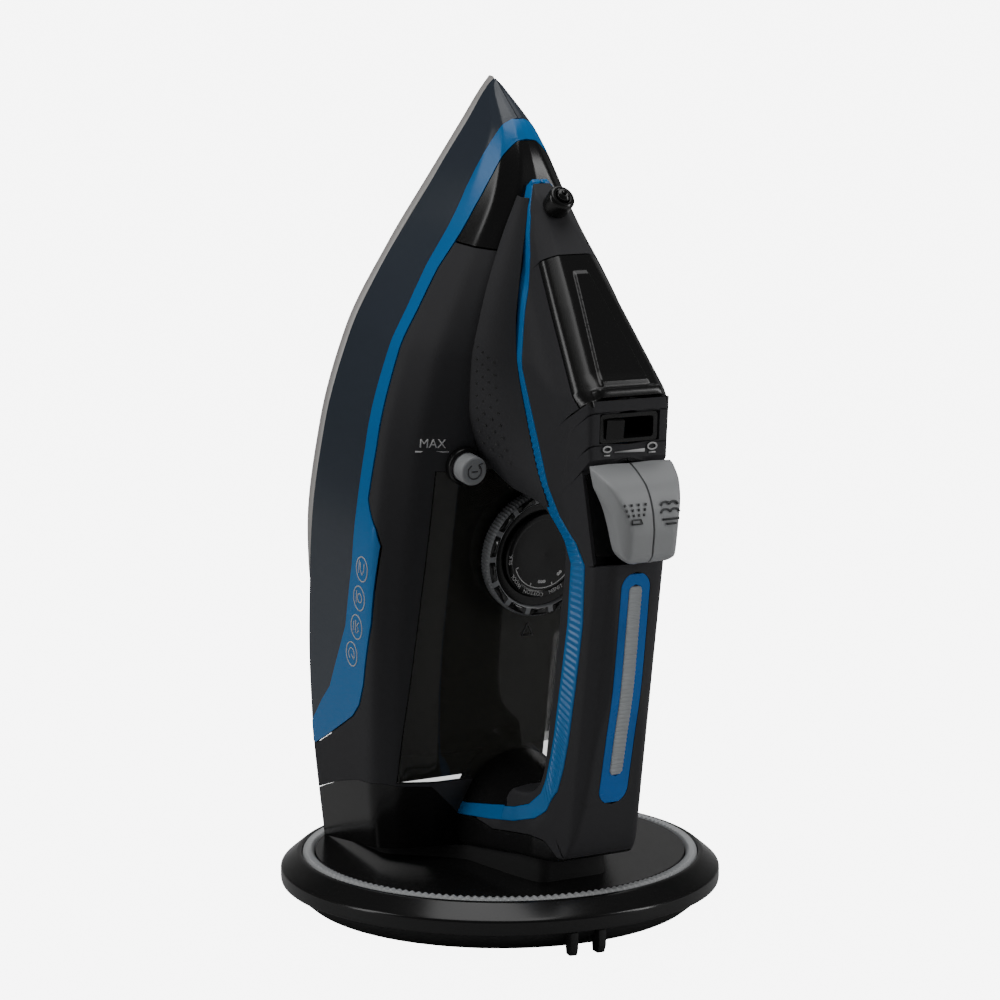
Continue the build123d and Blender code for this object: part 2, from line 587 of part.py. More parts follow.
# ---- controls ---------------------------------------------------------------------------------------
def build_dial():
    low, high = DIAL_H
    knurl = ring(DIAL_R, DIAL_R - 4.2, low, high, DIAL_L)
    for i in range(60):
        a = math.radians(6 * i)
        knurl -= peg(0.55, low - 1, high - 0.8, DIAL_L + (DIAL_R + 0.2) * math.cos(a), (DIAL_R + 0.2) * math.sin(a))
    save("dial_ring", stand(knurl))
    disc = ring(DIAL_R - 4.25, DIAL_CAP_R, low, high - 1.2, DIAL_L) + peg(DIAL_CAP_R, low, high - 3.0, DIAL_L)
    disc -= peg(DIAL_SHAFT_R, low - 1, high - 2, DIAL_L)
    save("dial_carrier", stand(disc))
    save("dial_cap", stand(peg(DIAL_CAP_R - 0.05, high - 3.0, high + 0.6, DIAL_L)))
    save("dial_shaft", stand(peg(DIAL_SHAFT_R, 22.4, high - 3.0, DIAL_L)))


def build_clean_button():
    button = peg(CLEAN_R, 53.0, CLEAN_TOP, CLEAN_L, CLEAN_Y) + peg(CLEAN_R + 1.6, 50.6, 53.0, CLEAN_L, CLEAN_Y)
    save("clean_button", stand(button))


def build_slider():
    bezel = side_prism([(194.2, 104.3), (194.2, 112.2), (183.8, 113.6), (183.8, 104.3)], -11.9, 11.9)
    bezel -= side_prism([(192.8, 102), (192.8, 130), (185.2, 130), (185.2, 102)], -10.2, 10.2)
    save("slider_bezel", stand(bezel))
    axis = Plane(origin=(SLIDER_AXIS_H, 0, 185.6))
    arm = axis * (Cylinder(4.0, 6.8, align=(Align.CENTER, Align.CENTER, Align.MIN)))
    arm += box((SLIDER_AXIS_H, -2.0, 185.6), (113.0, 2.0, 192.4))
    arm += box((111.4, -3.2, 185.6), (115.8, 3.2, 192.4))
    arm -= axis * Cylinder(1.55, 60)
    knob = Pos(SLIDER_AXIS_H, 0, 0) * Rot(0, 0, -SLIDER_REST_DEG) * Pos(-SLIDER_AXIS_H, 0, 0) * arm
    save("steam_slider", stand(knob))
    pin = Plane(origin=(SLIDER_AXIS_H, 0, 181.0)) * Cylinder(1.5, 18, align=(Align.CENTER, Align.CENTER, Align.MIN))
    save("slider_pin", stand(pin))
    save("steam_valve_rod", stand(peg(VALVE_R, 26.4, 79.0, VALVE_L) + peg(3.4, 79.0, 80.4, VALVE_L)))


BUTTON_SIDE = [(177.0, 115.4), (176.0, 119.0), (170.4, 128.4), (163.0, 133.2), (149.5, 135.2), (145.4, 133.0),
               (144.6, 128.6), (147.6, 127.4)]


def button_cap(side):
    """One half of the two-part thumb button."""
    half = [(105, 17.6), (117, 17.2), (124, 15.4), (130, 13.0), (133, 11.0), (137, 7.0), (137, 0.35), (105, 0.35)]
    face = make_face(Polyline(*[(h, side * y) for h, y in half], close=True))
    section = extrude(Plane.XY.offset(130) * face, amount=70, dir=(0, 0, 1))
    return side_prism(BUTTON_SIDE, -30, 30) & section


def build_buttons():
    housing = side_prism([(178.6, 104.0), (178.6, 110.2), (144.4, 122.0), (144.4, 110.0)], -15.2, 15.2)
    barrels = []
    for side, name in ((-1, "spray"), (1, "steam")):
        pump_l = 168.0
        pump_y = side * 8.0
        stem = peg(2.2, 92.0, 122.0, pump_l, pump_y)
        piston = peg(4.6, 89.0, 92.0, pump_l, pump_y)
        save(f"{name}_button", stand(button_cap(side) + peg(2.2, 112.0, 124.0, pump_l, pump_y)))
        save(f"{name}_piston", stand((stem + piston) - peg(9, 112.0, 130, pump_l, pump_y)))
        barrel = ring(6.4, 4.9, 80.0, 100.0, pump_l, pump_y) + ring(6.4, 2.5, 100.0, 102.0, pump_l, pump_y)
        barrel += peg(6.4, 78.0, 80.0, pump_l, pump_y)
        barrels.append(stand(barrel))
        housing -= peg(2.6, 90, 130, pump_l, pump_y)
    save("button_housing", stand(housing & loop_volume(WALL + 0.2)))
    save("thumb_pumps", Compound(barrels))
    tube = Plane(origin=(76, -13, 176)) * Cylinder(1.5, 56, align=(Align.CENTER, Align.CENTER, Align.MIN))
    save("spray_hose", stand(tube & loop_core))


os.makedirs("parts", exist_ok=True)
build_base()
build_heater()
build_body()
build_water()
build_handle()
build_cheeks()
build_front()
build_dial()
build_clean_button()
build_slider()
build_buttons()
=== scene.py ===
"""Looks of a cordless steam iron that stands heel-down on its round charging base.

The iron is worked out in its own frame, in millimetres: L runs along the sole from heel to tip, H is the
height above the sole and Y is across. iron_point() leans that frame back and sets it on the base.
"""

import json
import math

import bmesh
import bpy
import numpy as np
from bpy.props import FloatProperty, FloatVectorProperty, IntProperty, PointerProperty
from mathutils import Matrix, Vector


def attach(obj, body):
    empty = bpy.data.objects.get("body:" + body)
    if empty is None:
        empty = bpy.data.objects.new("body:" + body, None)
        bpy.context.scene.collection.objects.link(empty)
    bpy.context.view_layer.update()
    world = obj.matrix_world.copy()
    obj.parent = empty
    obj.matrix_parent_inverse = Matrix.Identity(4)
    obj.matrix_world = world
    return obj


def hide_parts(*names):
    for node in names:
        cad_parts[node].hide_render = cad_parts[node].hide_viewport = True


bl_info = {
    "name": "Cordless Steam Iron",
    "version": (1, 0, 0),
    "blender": (4, 5, 0),
    "location": "3D View > Sidebar > Iron",
    "description": "Builds a steam iron on its charging base, with its finishes and a studio",
    "category": "Add Mesh",
}

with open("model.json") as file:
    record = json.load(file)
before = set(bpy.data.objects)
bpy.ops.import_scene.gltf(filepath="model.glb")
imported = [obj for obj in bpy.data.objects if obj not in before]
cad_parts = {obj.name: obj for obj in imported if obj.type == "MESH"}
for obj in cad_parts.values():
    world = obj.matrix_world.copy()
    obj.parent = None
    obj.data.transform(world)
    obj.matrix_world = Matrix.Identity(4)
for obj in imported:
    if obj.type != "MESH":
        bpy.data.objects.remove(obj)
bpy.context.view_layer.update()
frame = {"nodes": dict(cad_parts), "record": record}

MM = 0.001
HEEL_X, PLATE_Z = -54.5, 20.0
SOLE_H = 5.0                        # top of the soleplate
DIAL_L = 128.0                      # centre of the temperature dial
SLOPE_L, SLOPE_H = 253.0, 54.0      # foot of the column's sloping front
UP_L, UP_H = -0.679, 0.734          # up that slope
OUT_L, OUT_H = 0.734, 0.679         # straight out of that slope

# Body stations: L, half width at the sole, height and half width where the wall ends, height and half
# width of the crease beside the deck.
BODY = np.array([
    (-3.0, 47.8, 45.0, 47.0, 57.0, 30.0),
    (50.0, 57.4, 49.0, 56.2, 59.0, 34.0),
    (90.0, 61.6, 51.0, 60.4, 59.0, 35.0),
    (130.0, 63.2, 50.0, 62.2, 59.0, 34.0),
    (165.0, 60.6, 46.0, 59.4, 58.5, 34.0),
    (200.0, 52.4, 40.0, 49.6, 56.0, 31.5),
    (215.0, 45.9, 36.0, 41.0, 53.0, 28.0),
    (228.0, 39.2, 32.0, 33.4, 49.6, 23.0),
    (243.0, 30.0, 28.0, 24.0, 45.0, 16.0),
    (253.0, 24.0, 26.0, 19.0, 42.5, 10.5),
    (263.0, 18.2, 24.0, 15.0, 38.0, 6.5),
    (276.0, 10.2, 20.0, 9.0, 28.5, 3.2),
    (289.0, 2.6, 6.6, 2.5, 9.5, 1.2),
    (291.4, 0.3, 5.5, 0.25, 6.2, 0.1),
])
# Edges of the blue band and of the handle's trim, as (L, H).
BAND_LOW = np.array([(42, -2), (46, 3), (52, 7.5), (60, 13.5), (68, 20.4), (85, 28), (96, 32.5), (121, 36),
                     (143, 36), (165, 35), (186, 32.3), (207, 29.7), (228, 25.7), (255, 22.5), (281, 23.6),
                     (300, 24)], float)
BAND_HIGH = np.array([(36, -2), (40, 6.5), (48, 18), (56, 29), (62, 37), (68, 42), (77, 45.5), (102, 50),
                      (125, 51), (132, 51.2), (138, 49.2), (143, 45.3), (147, 42.8), (167, 42.2), (188, 38.8),
                      (209, 35), (228, 31.5), (250, 30.5), (262, 31), (300, 30)], float)
TRIM_OUTER = np.array([
    (26, 50), (27, 59), (31.5, 76.4), (36.5, 92), (42, 103.8), (46.8, 109), (51, 111), (56, 114), (65, 115.8),
    (76, 117), (97, 118), (120, 118.6), (141, 117), (148, 112), (155, 102), (164, 94.5), (180, 84.5),
    (200, 71.5), (218, 65), (238, 57.5), (250, 51), (262, 42)], float)
TRIM_INNER = np.array([
    (30, 50), (32, 61), (36.5, 75.7), (41.7, 91.3), (45.9, 99.5), (51.9, 104.9), (58, 107), (68, 108.8),
    (76, 109.6), (95, 110.6), (118, 111.6), (140, 110.4), (147, 105), (153, 96.5), (162, 88.5), (178, 78),
    (198, 67), (217, 60.8), (237, 53.2), (249, 47), (261, 39)], float)
# The handle's loop as pairs of points, outer (L, H) and inner (L, H), from the heel round to the nose.
LOOP = np.array([
    (13, 52, 51, 52), (15, 60, 50, 60), (20.4, 80, 47.4, 80), (25.7, 100, 49.6, 97), (30.6, 118.6, 55, 103),
    (40, 122.9, 63, 104.8), (56, 124.8, 74, 105.1), (78, 126.2, 86, 105.4), (99, 127.5, 102, 105.6),
    (125, 127.0, 122, 105.9), (141, 126.5, 134, 106), (150, 126, 141, 105.6), (161, 123.6, 146, 104),
    (172, 121, 150, 99.5), (179, 115, 153, 94), (189, 113.7, 156, 84), (199, 112.5, 159.5, 68),
    (207, 103.9, 167, 57.5), (216, 94.2, 182, 57), (226, 83.5, 200, 54.6), (236, 72.6, 217, 50.6),
    (245, 62.8, 232, 46.6), (253, 54, 245, 43), (258, 47, 251, 41.6), (262, 41, 257, 39),
], float)


# ---- places and curves ----------------------------------------------------------------------------
def iron_point(along, height, across):
    """A place in the iron's frame, moved to the row's frame: turned by the lean about Y, then lifted."""
    lean = bpy.context.scene.iron_sizes.lean
    x = HEEL_X + along * math.sin(lean) + height * math.cos(lean)
    z = PLATE_Z + along * math.cos(lean) - height * math.sin(lean)
    return np.stack([x, across + 0 * x, z], axis=-1) * MM


def iron_axis(along, height, across):
    """A direction in the iron's frame, as a direction in the row's frame."""
    lean = bpy.context.scene.iron_sizes.lean
    return np.array([along * math.sin(lean) + height * math.cos(lean), across,
                     along * math.cos(lean) - height * math.sin(lean)])


def smooth_curve(x, knots, values):
    """A cubic Hermite curve through the knots. A knot's slope is the harmonic mean of the slopes on its
    two sides, and 0 where those differ in sign, so the curve doesn't overshoot."""
    knots = np.asarray(knots, float)
    values = np.asarray(values, float)
    table = values[:, None] if values.ndim == 1 else values
    step = np.diff(knots)[:, None]
    rise = np.diff(table, axis=0) / step
    before, after = rise[:-1], rise[1:]
    same = before * after > 0
    middle = np.where(same, 2 * before * after / np.where(same, before + after, 1.0), 0.0)
    slope = np.vstack([rise[:1], middle, rise[-1:]])
    x = np.clip(x, knots[0], knots[-1])
    i = np.clip(np.searchsorted(knots, x, side="right") - 1, 0, len(knots) - 2)
    h = step[i]
    u = (x - knots[i])[:, None] / h
    out = (table[i] * (1 + 2 * u) * (1 - u) ** 2 + slope[i] * h * u * (1 - u) ** 2
           + table[i + 1] * u ** 2 * (3 - 2 * u) + slope[i + 1] * h * u ** 2 * (u - 1))
    return out[:, 0] if values.ndim == 1 else out


def resample(rows, count):
    """The same curves, with each one's points spaced evenly along its length."""
    step = np.linalg.norm(np.diff(rows, axis=1), axis=2) + 1e-6
    run = np.concatenate([np.zeros((len(rows), 1)), np.cumsum(step, axis=1)], axis=1)
    run /= run[:, -1:]
    t = np.linspace(0, 1, count)
    return np.array([np.stack([np.interp(t, r, row[:, k]) for k in range(rows.shape[2])], axis=1)
                     for r, row in zip(run, rows)])


def soften(rows, passes):
    """Rounds the corners along each curve: every point becomes a quarter of each neighbour and half of
    itself, again and again, with the ends carried straight on."""
    out = rows
    for _ in range(passes):
        first = 2 * out[:, :1] - out[:, 1:2]
        last = 2 * out[:, -1:] - out[:, -2:-1]
        wide = np.concatenate([first, out, last], axis=1)
        out = 0.25 * wide[:, :-2] + 0.5 * wide[:, 1:-1] + 0.25 * wide[:, 2:]
    return out


def at(rows, t):
    """Points at parameters t, 0 to 1 along each row, by straight lines between the row's points."""
    spot = np.clip(t, 0, 1) * (rows.shape[1] - 1)
    low = np.minimum(spot.astype(int), rows.shape[1] - 2)
    part = (spot - low)[..., None]
    line = np.arange(len(rows))[:, None]
    return rows[line, low] * (1 - part) + rows[line, low + 1] * part


def between(rows, first, last, count):
    """Each row's part from parameter first to parameter last, in evenly spaced points."""
    first = np.broadcast_to(np.asarray(first, float), len(rows))
    last = np.broadcast_to(np.asarray(last, float), len(rows))
    return at(rows, first[:, None] + (last - first)[:, None] * np.linspace(0, 1, count))


def crossing(values, level=0.0):
    """How far along each row, 0 to 1, its values first rise past a level. 1 where they never do."""
    level = np.broadcast_to(np.asarray(level, float), len(values))[:, None]
    above = values >= level
    index = np.where(above.any(axis=1), above.argmax(axis=1), values.shape[1])
    inner = np.clip(index, 1, values.shape[1] - 1)
    line = np.arange(len(values))
    low, high = values[line, inner - 1], values[line, inner]
    part = np.clip((level[:, 0] - low) / np.where(np.abs(high - low) < 1e-9, 1.0, high - low), 0, 1)
    t = (inner - 1 + part) / (values.shape[1] - 1)
    return np.where(index == 0, 0.0, np.where(index >= values.shape[1], 1.0, t))


def side_of(along, height, line):
    """Signed distance to an open line of (L, H) points, positive on its left: the perpendicular distance
    to the nearest of its pieces, with the sign of the cross product."""
    a, b = line[:-1], line[1:]
    d = b - a
    p = np.stack([along, height], axis=-1)[..., None, :]
    u = np.clip(((p - a) * d).sum(-1) / (d ** 2).sum(-1), 0, 1)
    gap = p - (a + u[..., None] * d)
    far = np.linalg.norm(gap, axis=-1)
    cross = d[:, 0] * gap[..., 1] - d[:, 1] * gap[..., 0]
    near = far.argmin(axis=-1)[..., None]
    return (np.take_along_axis(far, near, -1) * np.sign(np.take_along_axis(cross, near, -1)))[..., 0]


def rounded(points, radius, steps=5):
    """A closed outline with each corner cut back by up to the radius and bridged by a parabola."""
    points = np.asarray(points, float)
    before, after = np.roll(points, 1, axis=0), np.roll(points, -1, axis=0)
    to_before, to_after = before - points, after - points
    reach_b = np.linalg.norm(to_before, axis=1, keepdims=True)
    reach_a = np.linalg.norm(to_after, axis=1, keepdims=True)
    start = points + to_before / reach_b * np.minimum(radius, reach_b * 0.45)
    end = points + to_after / reach_a * np.minimum(radius, reach_a * 0.45)
    u = np.linspace(0, 1, steps)[None, :, None]
    arc = start[:, None] * (1 - u) ** 2 + 2 * points[:, None] * u * (1 - u) + end[:, None] * u ** 2
    return arc.reshape(-1, points.shape[1])


# ---- meshes ---------------------------------------------------------------------------------------
def grid_faces(rows, columns, close_rows=False, close_columns=False, keep=None):
    """Quads of a grid of points, wrapped round in either direction if asked, without masked ones."""
    i = np.arange(rows if close_rows else rows - 1)[:, None]
    j = np.arange(columns if close_columns else columns - 1)[None, :]
    i2, j2 = (i + 1) % rows, (j + 1) % columns
    quads = np.stack([i * columns + j, i2 * columns + j, i2 * columns + j2, i * columns + j2], axis=-1)
    return quads.reshape(-1, 4) if keep is None else quads[keep]


def mesh_piece(name, parts, weld=0.02, sharp=38.0, recalc=False):
    """One object from a list of (points in metres, faces). Doubles are merged, and edges whose faces meet
    at more than the sharp angle are kept hard."""
    mesh = bpy.data.meshes.new(name)
    verts, faces, base = [], [], 0
    for points, quads in parts:
        verts.append(points.reshape(-1, 3))
        faces.extend((np.asarray(quads) + base).tolist())
        base += len(verts[-1])
    mesh.from_pydata(np.concatenate(verts).tolist(), [], faces)
    shape = bmesh.new()
    shape.from_mesh(mesh)
    bmesh.ops.remove_doubles(shape, verts=shape.verts, dist=weld * MM)
    bmesh.ops.dissolve_degenerate(shape, edges=shape.edges, dist=1e-6)
    if recalc:
        bmesh.ops.recalc_face_normals(shape, faces=shape.faces)
    limit = math.radians(sharp)
    for edge in shape.edges:
        if len(edge.link_faces) == 2 and edge.calc_face_angle(0.0) > limit:
            edge.smooth = False
    for face in shape.faces:
        face.smooth = True
    shape.to_mesh(mesh)
    shape.free()
    piece = bpy.data.objects.new(name, mesh)
    bpy.context.scene.collection.objects.link(piece)
    return piece


def facing(points, quads, direction):
    """The quads, all turned over if together they face away from a direction."""
    p = points.reshape(-1, 3)[quads]
    normal = np.cross(p[:, 2] - p[:, 0], p[:, 3] - p[:, 1]).sum(axis=0)
    return quads if normal @ np.asarray(direction, float) >= 0 else quads[:, ::-1]


def both_sides(local, keep=None):
    """World points and faces of a patch of (L, H, Y) rows on the +Y flank, and of its mirror image."""
    parts = []
    quads = grid_faces(*local.shape[:2], keep=keep)
    for side in (1, -1):
        points = iron_point(local[..., 0], local[..., 1], side * local[..., 2])
        parts.append((points, facing(points, quads, iron_axis(0.0, 0.35, side))))
    return parts


def one_side(local, side, keep=None):
    """The same for one flank only: side is 1 or -1."""
    points = iron_point(local[..., 0], local[..., 1], side * local[..., 2])
    return [(points, facing(points, grid_faces(*local.shape[:2], keep=keep), iron_axis(0.0, 0.35, side)))]


def thicken(piece, thickness, bevel=0.0):
    """Gives a skin its wall, inwards, and eases the wall's edges."""
    solid = piece.modifiers.new("Wall", "SOLIDIFY")
    solid.thickness = thickness * MM
    solid.offset = -1.0
    if bevel:
        ease = piece.modifiers.new("Eased edge", "BEVEL")
        ease.width = bevel * MM
        ease.segments = 2
        ease.limit_method = "ANGLE"
        ease.angle_limit = math.radians(55)
        ease.harden_normals = True
    return piece


def turned(profile, segments, centre=(0.0, 0.0), dial=None, ripple=None):
    """A closed profile of (radius, height) spun about an axis: x = r cos a, y = r sin a. The ripple is
    added to the radius as a function of the profile's index and the angle. dial gives (L, Y) of an axis
    that stands on the sole; without it the axis is vertical in the row's frame."""
    profile = np.asarray(profile, float)
    angle = np.linspace(0, 2 * math.pi, segments, endpoint=False)[:, None]
    radius = profile[None, :, 0] + (0 * angle if ripple is None else ripple(angle, profile))
    height = np.broadcast_to(profile[None, :, 1], radius.shape)
    u, v = radius * np.cos(angle), radius * np.sin(angle)
    if dial is None:
        points = np.stack([centre[0] + u, centre[1] + v, height], axis=-1) * MM
    else:
        points = iron_point(dial[0] + u, height, dial[1] + v)
    return points, grid_faces(segments, len(profile), close_rows=True, close_columns=True)


def dress(piece, body, nodes, slot):
    """Gives a piece its finish, its place on a body and the CAD nodes it stands for."""
    piece.data.materials.clear()
    piece.data.materials.append(bpy.data.materials[slot])
    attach(piece, body)
    if nodes:
        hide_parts(*nodes)
    return piece


def stroke(points, width, closed=False):
    """A flat ribbon of even width along a line of (u, v) points, as grid rows of two points each: the
    line moved by half the width to either side along the mean normal."""
    points = np.asarray(points, float)
    if closed:
        ahead = np.roll(points, -1, axis=0) - np.roll(points, 1, axis=0)
    else:
        ahead = np.gradient(points, axis=0)
    ahead /= np.linalg.norm(ahead, axis=1, keepdims=True) + 1e-9
    normal = np.stack([-ahead[:, 1], ahead[:, 0]], axis=1) * width / 2
    return np.stack([points + normal, points - normal], axis=1), grid_faces(len(points), 2, close_rows=closed)


def arc(cx, cy, rx, ry, start, end, count=24):
    """Points of an elliptical arc, in degrees."""
    a = np.radians(np.linspace(start, end, count))
    return np.stack([cx + rx * np.cos(a), cy + ry * np.sin(a)], axis=1)


def mark(name, strokes, centre, u_axis, v_axis, body, slot, height=0.12):
    """Thin raised print: ribbons in a plane through centre (L, H, Y), spanned by two iron directions."""
    origin = iron_point(*[np.array(float(c)) for c in centre])
    u = iron_axis(*u_axis) * MM
    v = iron_axis(*v_axis) * MM
    out = np.cross(u, v)
    out = out / np.linalg.norm(out) * height * MM
    parts = []
    for flat, quads in strokes:
        low = origin + flat[..., :1] * u + flat[..., 1:] * v
        parts.append((low + out, facing(low, quads, out)))
    piece = mesh_piece(name, parts, weld=0.001)
    thicken(piece, height * 1.6)
    return dress(piece, body, [], slot)


def lettering(name, words, centre, u_axis, v_axis, body, slot, height=0.12):
    """Thin raised words from Blender's own font: each is (text, size, u, v, turn in degrees)."""
    origin = iron_point(*[np.array(float(c)) for c in centre])
    u_dir, v_dir = iron_axis(*u_axis) * MM, iron_axis(*v_axis) * MM
    out = np.cross(u_dir, v_dir)
    out = out / np.linalg.norm(out) * height * MM
    parts = []
    for text, size, u, v, turn in words:
        curve = bpy.data.curves.new("word", "FONT")
        curve.body = text
        curve.size = size
        curve.align_x = "CENTER"
        curve.align_y = "CENTER"
        curve.resolution_u = 2
        holder = bpy.data.objects.new("word", curve)
        bpy.context.scene.collection.objects.link(holder)
        bpy.context.view_layer.update()
        mesh = bpy.data.meshes.new_from_object(holder)
        flat = np.zeros(len(mesh.vertices) * 3)
        mesh.vertices.foreach_get("co", flat)
        flat = flat.reshape(-1, 3)[:, :2]
        c, s = math.cos(math.radians(turn)), math.sin(math.radians(turn))
        flat = np.stack([u + c * flat[:, 0] - s * flat[:, 1], v + s * flat[:, 0] + c * flat[:, 1]], axis=1)
        points = origin + flat[:, :1] * u_dir + flat[:, 1:] * v_dir + out
        for p in mesh.polygons:
            parts.append((points[list(p.vertices)], np.array([list(range(len(p.vertices)))])))
        bpy.data.objects.remove(holder)
        bpy.data.curves.remove(curve)
        bpy.data.meshes.remove(mesh)
    piece = mesh_piece(name, [(p, facing_ngon(p, f, out)) for p, f in parts], weld=0.001)
    thicken(piece, height * 1.6)
    return dress(piece, body, [], slot)


def facing_ngon(points, faces, direction):
    """One flat face, turned over if it faces away from a direction."""
    p = points[faces[0]]
    normal = np.cross(p, np.roll(p, -1, axis=0)).sum(axis=0)
    return faces if normal @ direction >= 0 else faces[:, ::-1]


# ---- the body's master surface -----------------------------------------------------------------------
def body_rows(along):
    """Half sections of the body at places along the sole, as (L, H, Y) from the sole's edge up over the
    shoulder to the middle of the deck. Stations are joined by smooth curves along L, and each section's
    corners are softened."""
    w, wall, wall_w, crease, deck = smooth_curve(along, BODY[:, 0], BODY[:, 1:]).T
    shoulder_w = deck + 0.62 * (wall_w - deck)
    shoulder_h = wall + 0.66 * (crease - wall)
    foot = np.full_like(w, SOLE_H)
    heights = np.stack([foot, wall, shoulder_h, crease, crease + 0.4], axis=1)
    widths = np.stack([w, wall_w, shoulder_w, deck, 0 * w], axis=1)
    rows = soften(resample(np.stack([heights, widths], axis=-1), 220), 34)
    return np.concatenate([np.broadcast_to(along[:, None, None], rows.shape[:2] + (1,)), rows], axis=2)


def band_edges(rows):
    """Where along each body row the blue band begins and ends."""
    low = np.interp(rows[:, 0, 0], BAND_LOW[:, 0], BAND_LOW[:, 1])
    high = np.interp(rows[:, 0, 0], BAND_HIGH[:, 0], BAND_HIGH[:, 1])
    return crossing(rows[..., 1], low), crossing(rows[..., 1], high)


def window_edge(rows):
    """Where along each body row the smoky window begins, at 47.5 mm to 42.5 mm from the middle."""
    half = np.interp(rows[:, 0, 0], (60.0, 160.0), (47.5, 42.5))
    return crossing(-rows[..., 2], -half)


def heel_line(height):
    """L of the seam between the heel cover and the handle's rear leg, at a height."""
    return np.interp(height, (50, 73, 80, 103, 110, 116.5, 122, 140),
                     (29, 29, 28.8, 35.3, 35.5, 31.3, 31.8, 31))


def heel_patch(first, last, count=14):
    """A patch of the body's rear in rows of constant share between two lines. Each line gives L for every
    point of a body row, from the sole's edge to the middle of the deck."""
    start, step, stations, points = -2.0, 0.5, 93, 110
    rows = body_rows(np.linspace(start, start + step * (stations - 1), stations))
    guess = at(rows, np.broadcast_to(np.linspace(0.001, 1.0, points), (stations, points)))
    # Heights and widths change little along the rear, so one row, 28 mm in, serves for all.
    height, across = guess[60, :, 1], guess[60, :, 2]
    k = np.arange(points)
    columns = []
    for share in np.linspace(0, 1, count):
        goal = first(height, across) * (1 - share) + last(height, across) * share
        spot = np.clip((goal - start) / step, 0, stations - 1.001)
        i = spot.astype(int)
        part = (spot - i)[:, None]
        columns.append(guess[i, k] * (1 - part) + guess[i + 1, k] * part)
    return np.array(columns)


def heel_underside(height, across):
    """L of the heel's sloping underside."""
    return 0.26 * height - 0.5


def heel_seam(height, across):
    """L of the heel cover's seam: by height on the flank, then by distance from the middle on the deck."""
    flank = np.interp(height, (5, 23, 37, 50, 58), (21, 30.5, 36.5, 39.5, 39))
    deck = np.interp(across, (22.7, 34), (27, 39))
    return np.where(height < 57, flank, np.minimum(flank, deck))


# ---- the handle's master surface ---------------------------------------------------------------------
def loop_half_width(along, height, depth):
    """Half width of the handle and column: the least of three limits, by height, by place along the iron
    and by depth under the sloping front. The rear leg has its own, an arch of its depth from the gap."""
    by_height = np.interp(height, (30, 62, 72, 104, 114, 121.5, 125.8, 127.6),
                          (30, 27, 19.5, 19, 16.2, 14.4, 10.4, 6.2))
    by_place = np.interp(along, (4, 20, 46, 146, 166, 203, 232, 253, 263),
                         (17, 24, 16.9, 16.9, 19.5, 19.2, 13.4, 7.4, 2.2))
    up = UP_H * (height - SLOPE_H) + UP_L * (along - SLOPE_L)
    deep = -(OUT_H * (height - SLOPE_H) + OUT_L * (along - SLOPE_L))
    flat = np.interp(up, (-30, 0, 40, 79), (3.0, 4.2, 9.2, 13.8))
    full = np.interp(up, (-30, 0, 40, 79), (8.0, 9.0, 14.6, 19.6))
    front = flat + (full - flat) * np.sin(np.clip(deep / 5, 0, 1) * math.pi / 2)
    front += np.clip((deep - 5) / 9, 0, 1) + np.clip((deep - 14) / 46, 0, 1) * (33 - full)
    front += 40 * np.clip((up - 79) / 3, 0, 1)
    rest = np.minimum(np.minimum(by_height, by_place), front)
    arch = np.interp(depth, (0, 0.5, 3, 8, 14.5, 23), (2.5, 5.5, 11.5, 16.8, 19.8, 22.7))
    leg = np.minimum(np.interp(height, (50, 58, 75, 90, 104), (23.5, 22.7, 21, 19.5, 19)),
                     arch + 60 * np.clip((height - 84) / 18, 0, 1))
    leg = np.minimum(leg, np.interp(along, (4, 20), (17, 24)))
    share = np.clip((106 - height) / 12, 0, 1) * np.clip((66 - along) / 8, 0, 1)
    return rest * (1 - share) + leg * share


def loop_rows(count=460):
    """Half sections of the handle's loop as (L, H, Y), from the middle of its inner side round the flank to
    the middle of its outer side. Each row lies on a line from an inner to an outer point of the loop."""
    middle = (LOOP[:, :2] + LOOP[:, 2:]) / 2
    run = np.concatenate([[0.0], np.cumsum(np.linalg.norm(np.diff(middle, axis=0), axis=1))])
    stations = smooth_curve(np.linspace(0, run[-1], count), run, LOOP)
    a = np.linspace(0, 1, 90)[None, :, None]
    line = stations[:, None, 2:] * (1 - a) + stations[:, None, :2] * a
    depth = np.linalg.norm(line - line[:, :1], axis=2)
    width = loop_half_width(line[..., 0], line[..., 1], depth)
    flank = np.concatenate([line, width[..., None]], axis=2)
    inner = flank[:, :1] * (1.0, 1.0, 0.0)
    outer = flank[:, -1:] * (1.0, 1.0, 0.0)
    rows = soften(resample(np.concatenate([inner, flank, outer], axis=1), 260), 40)
    return rows


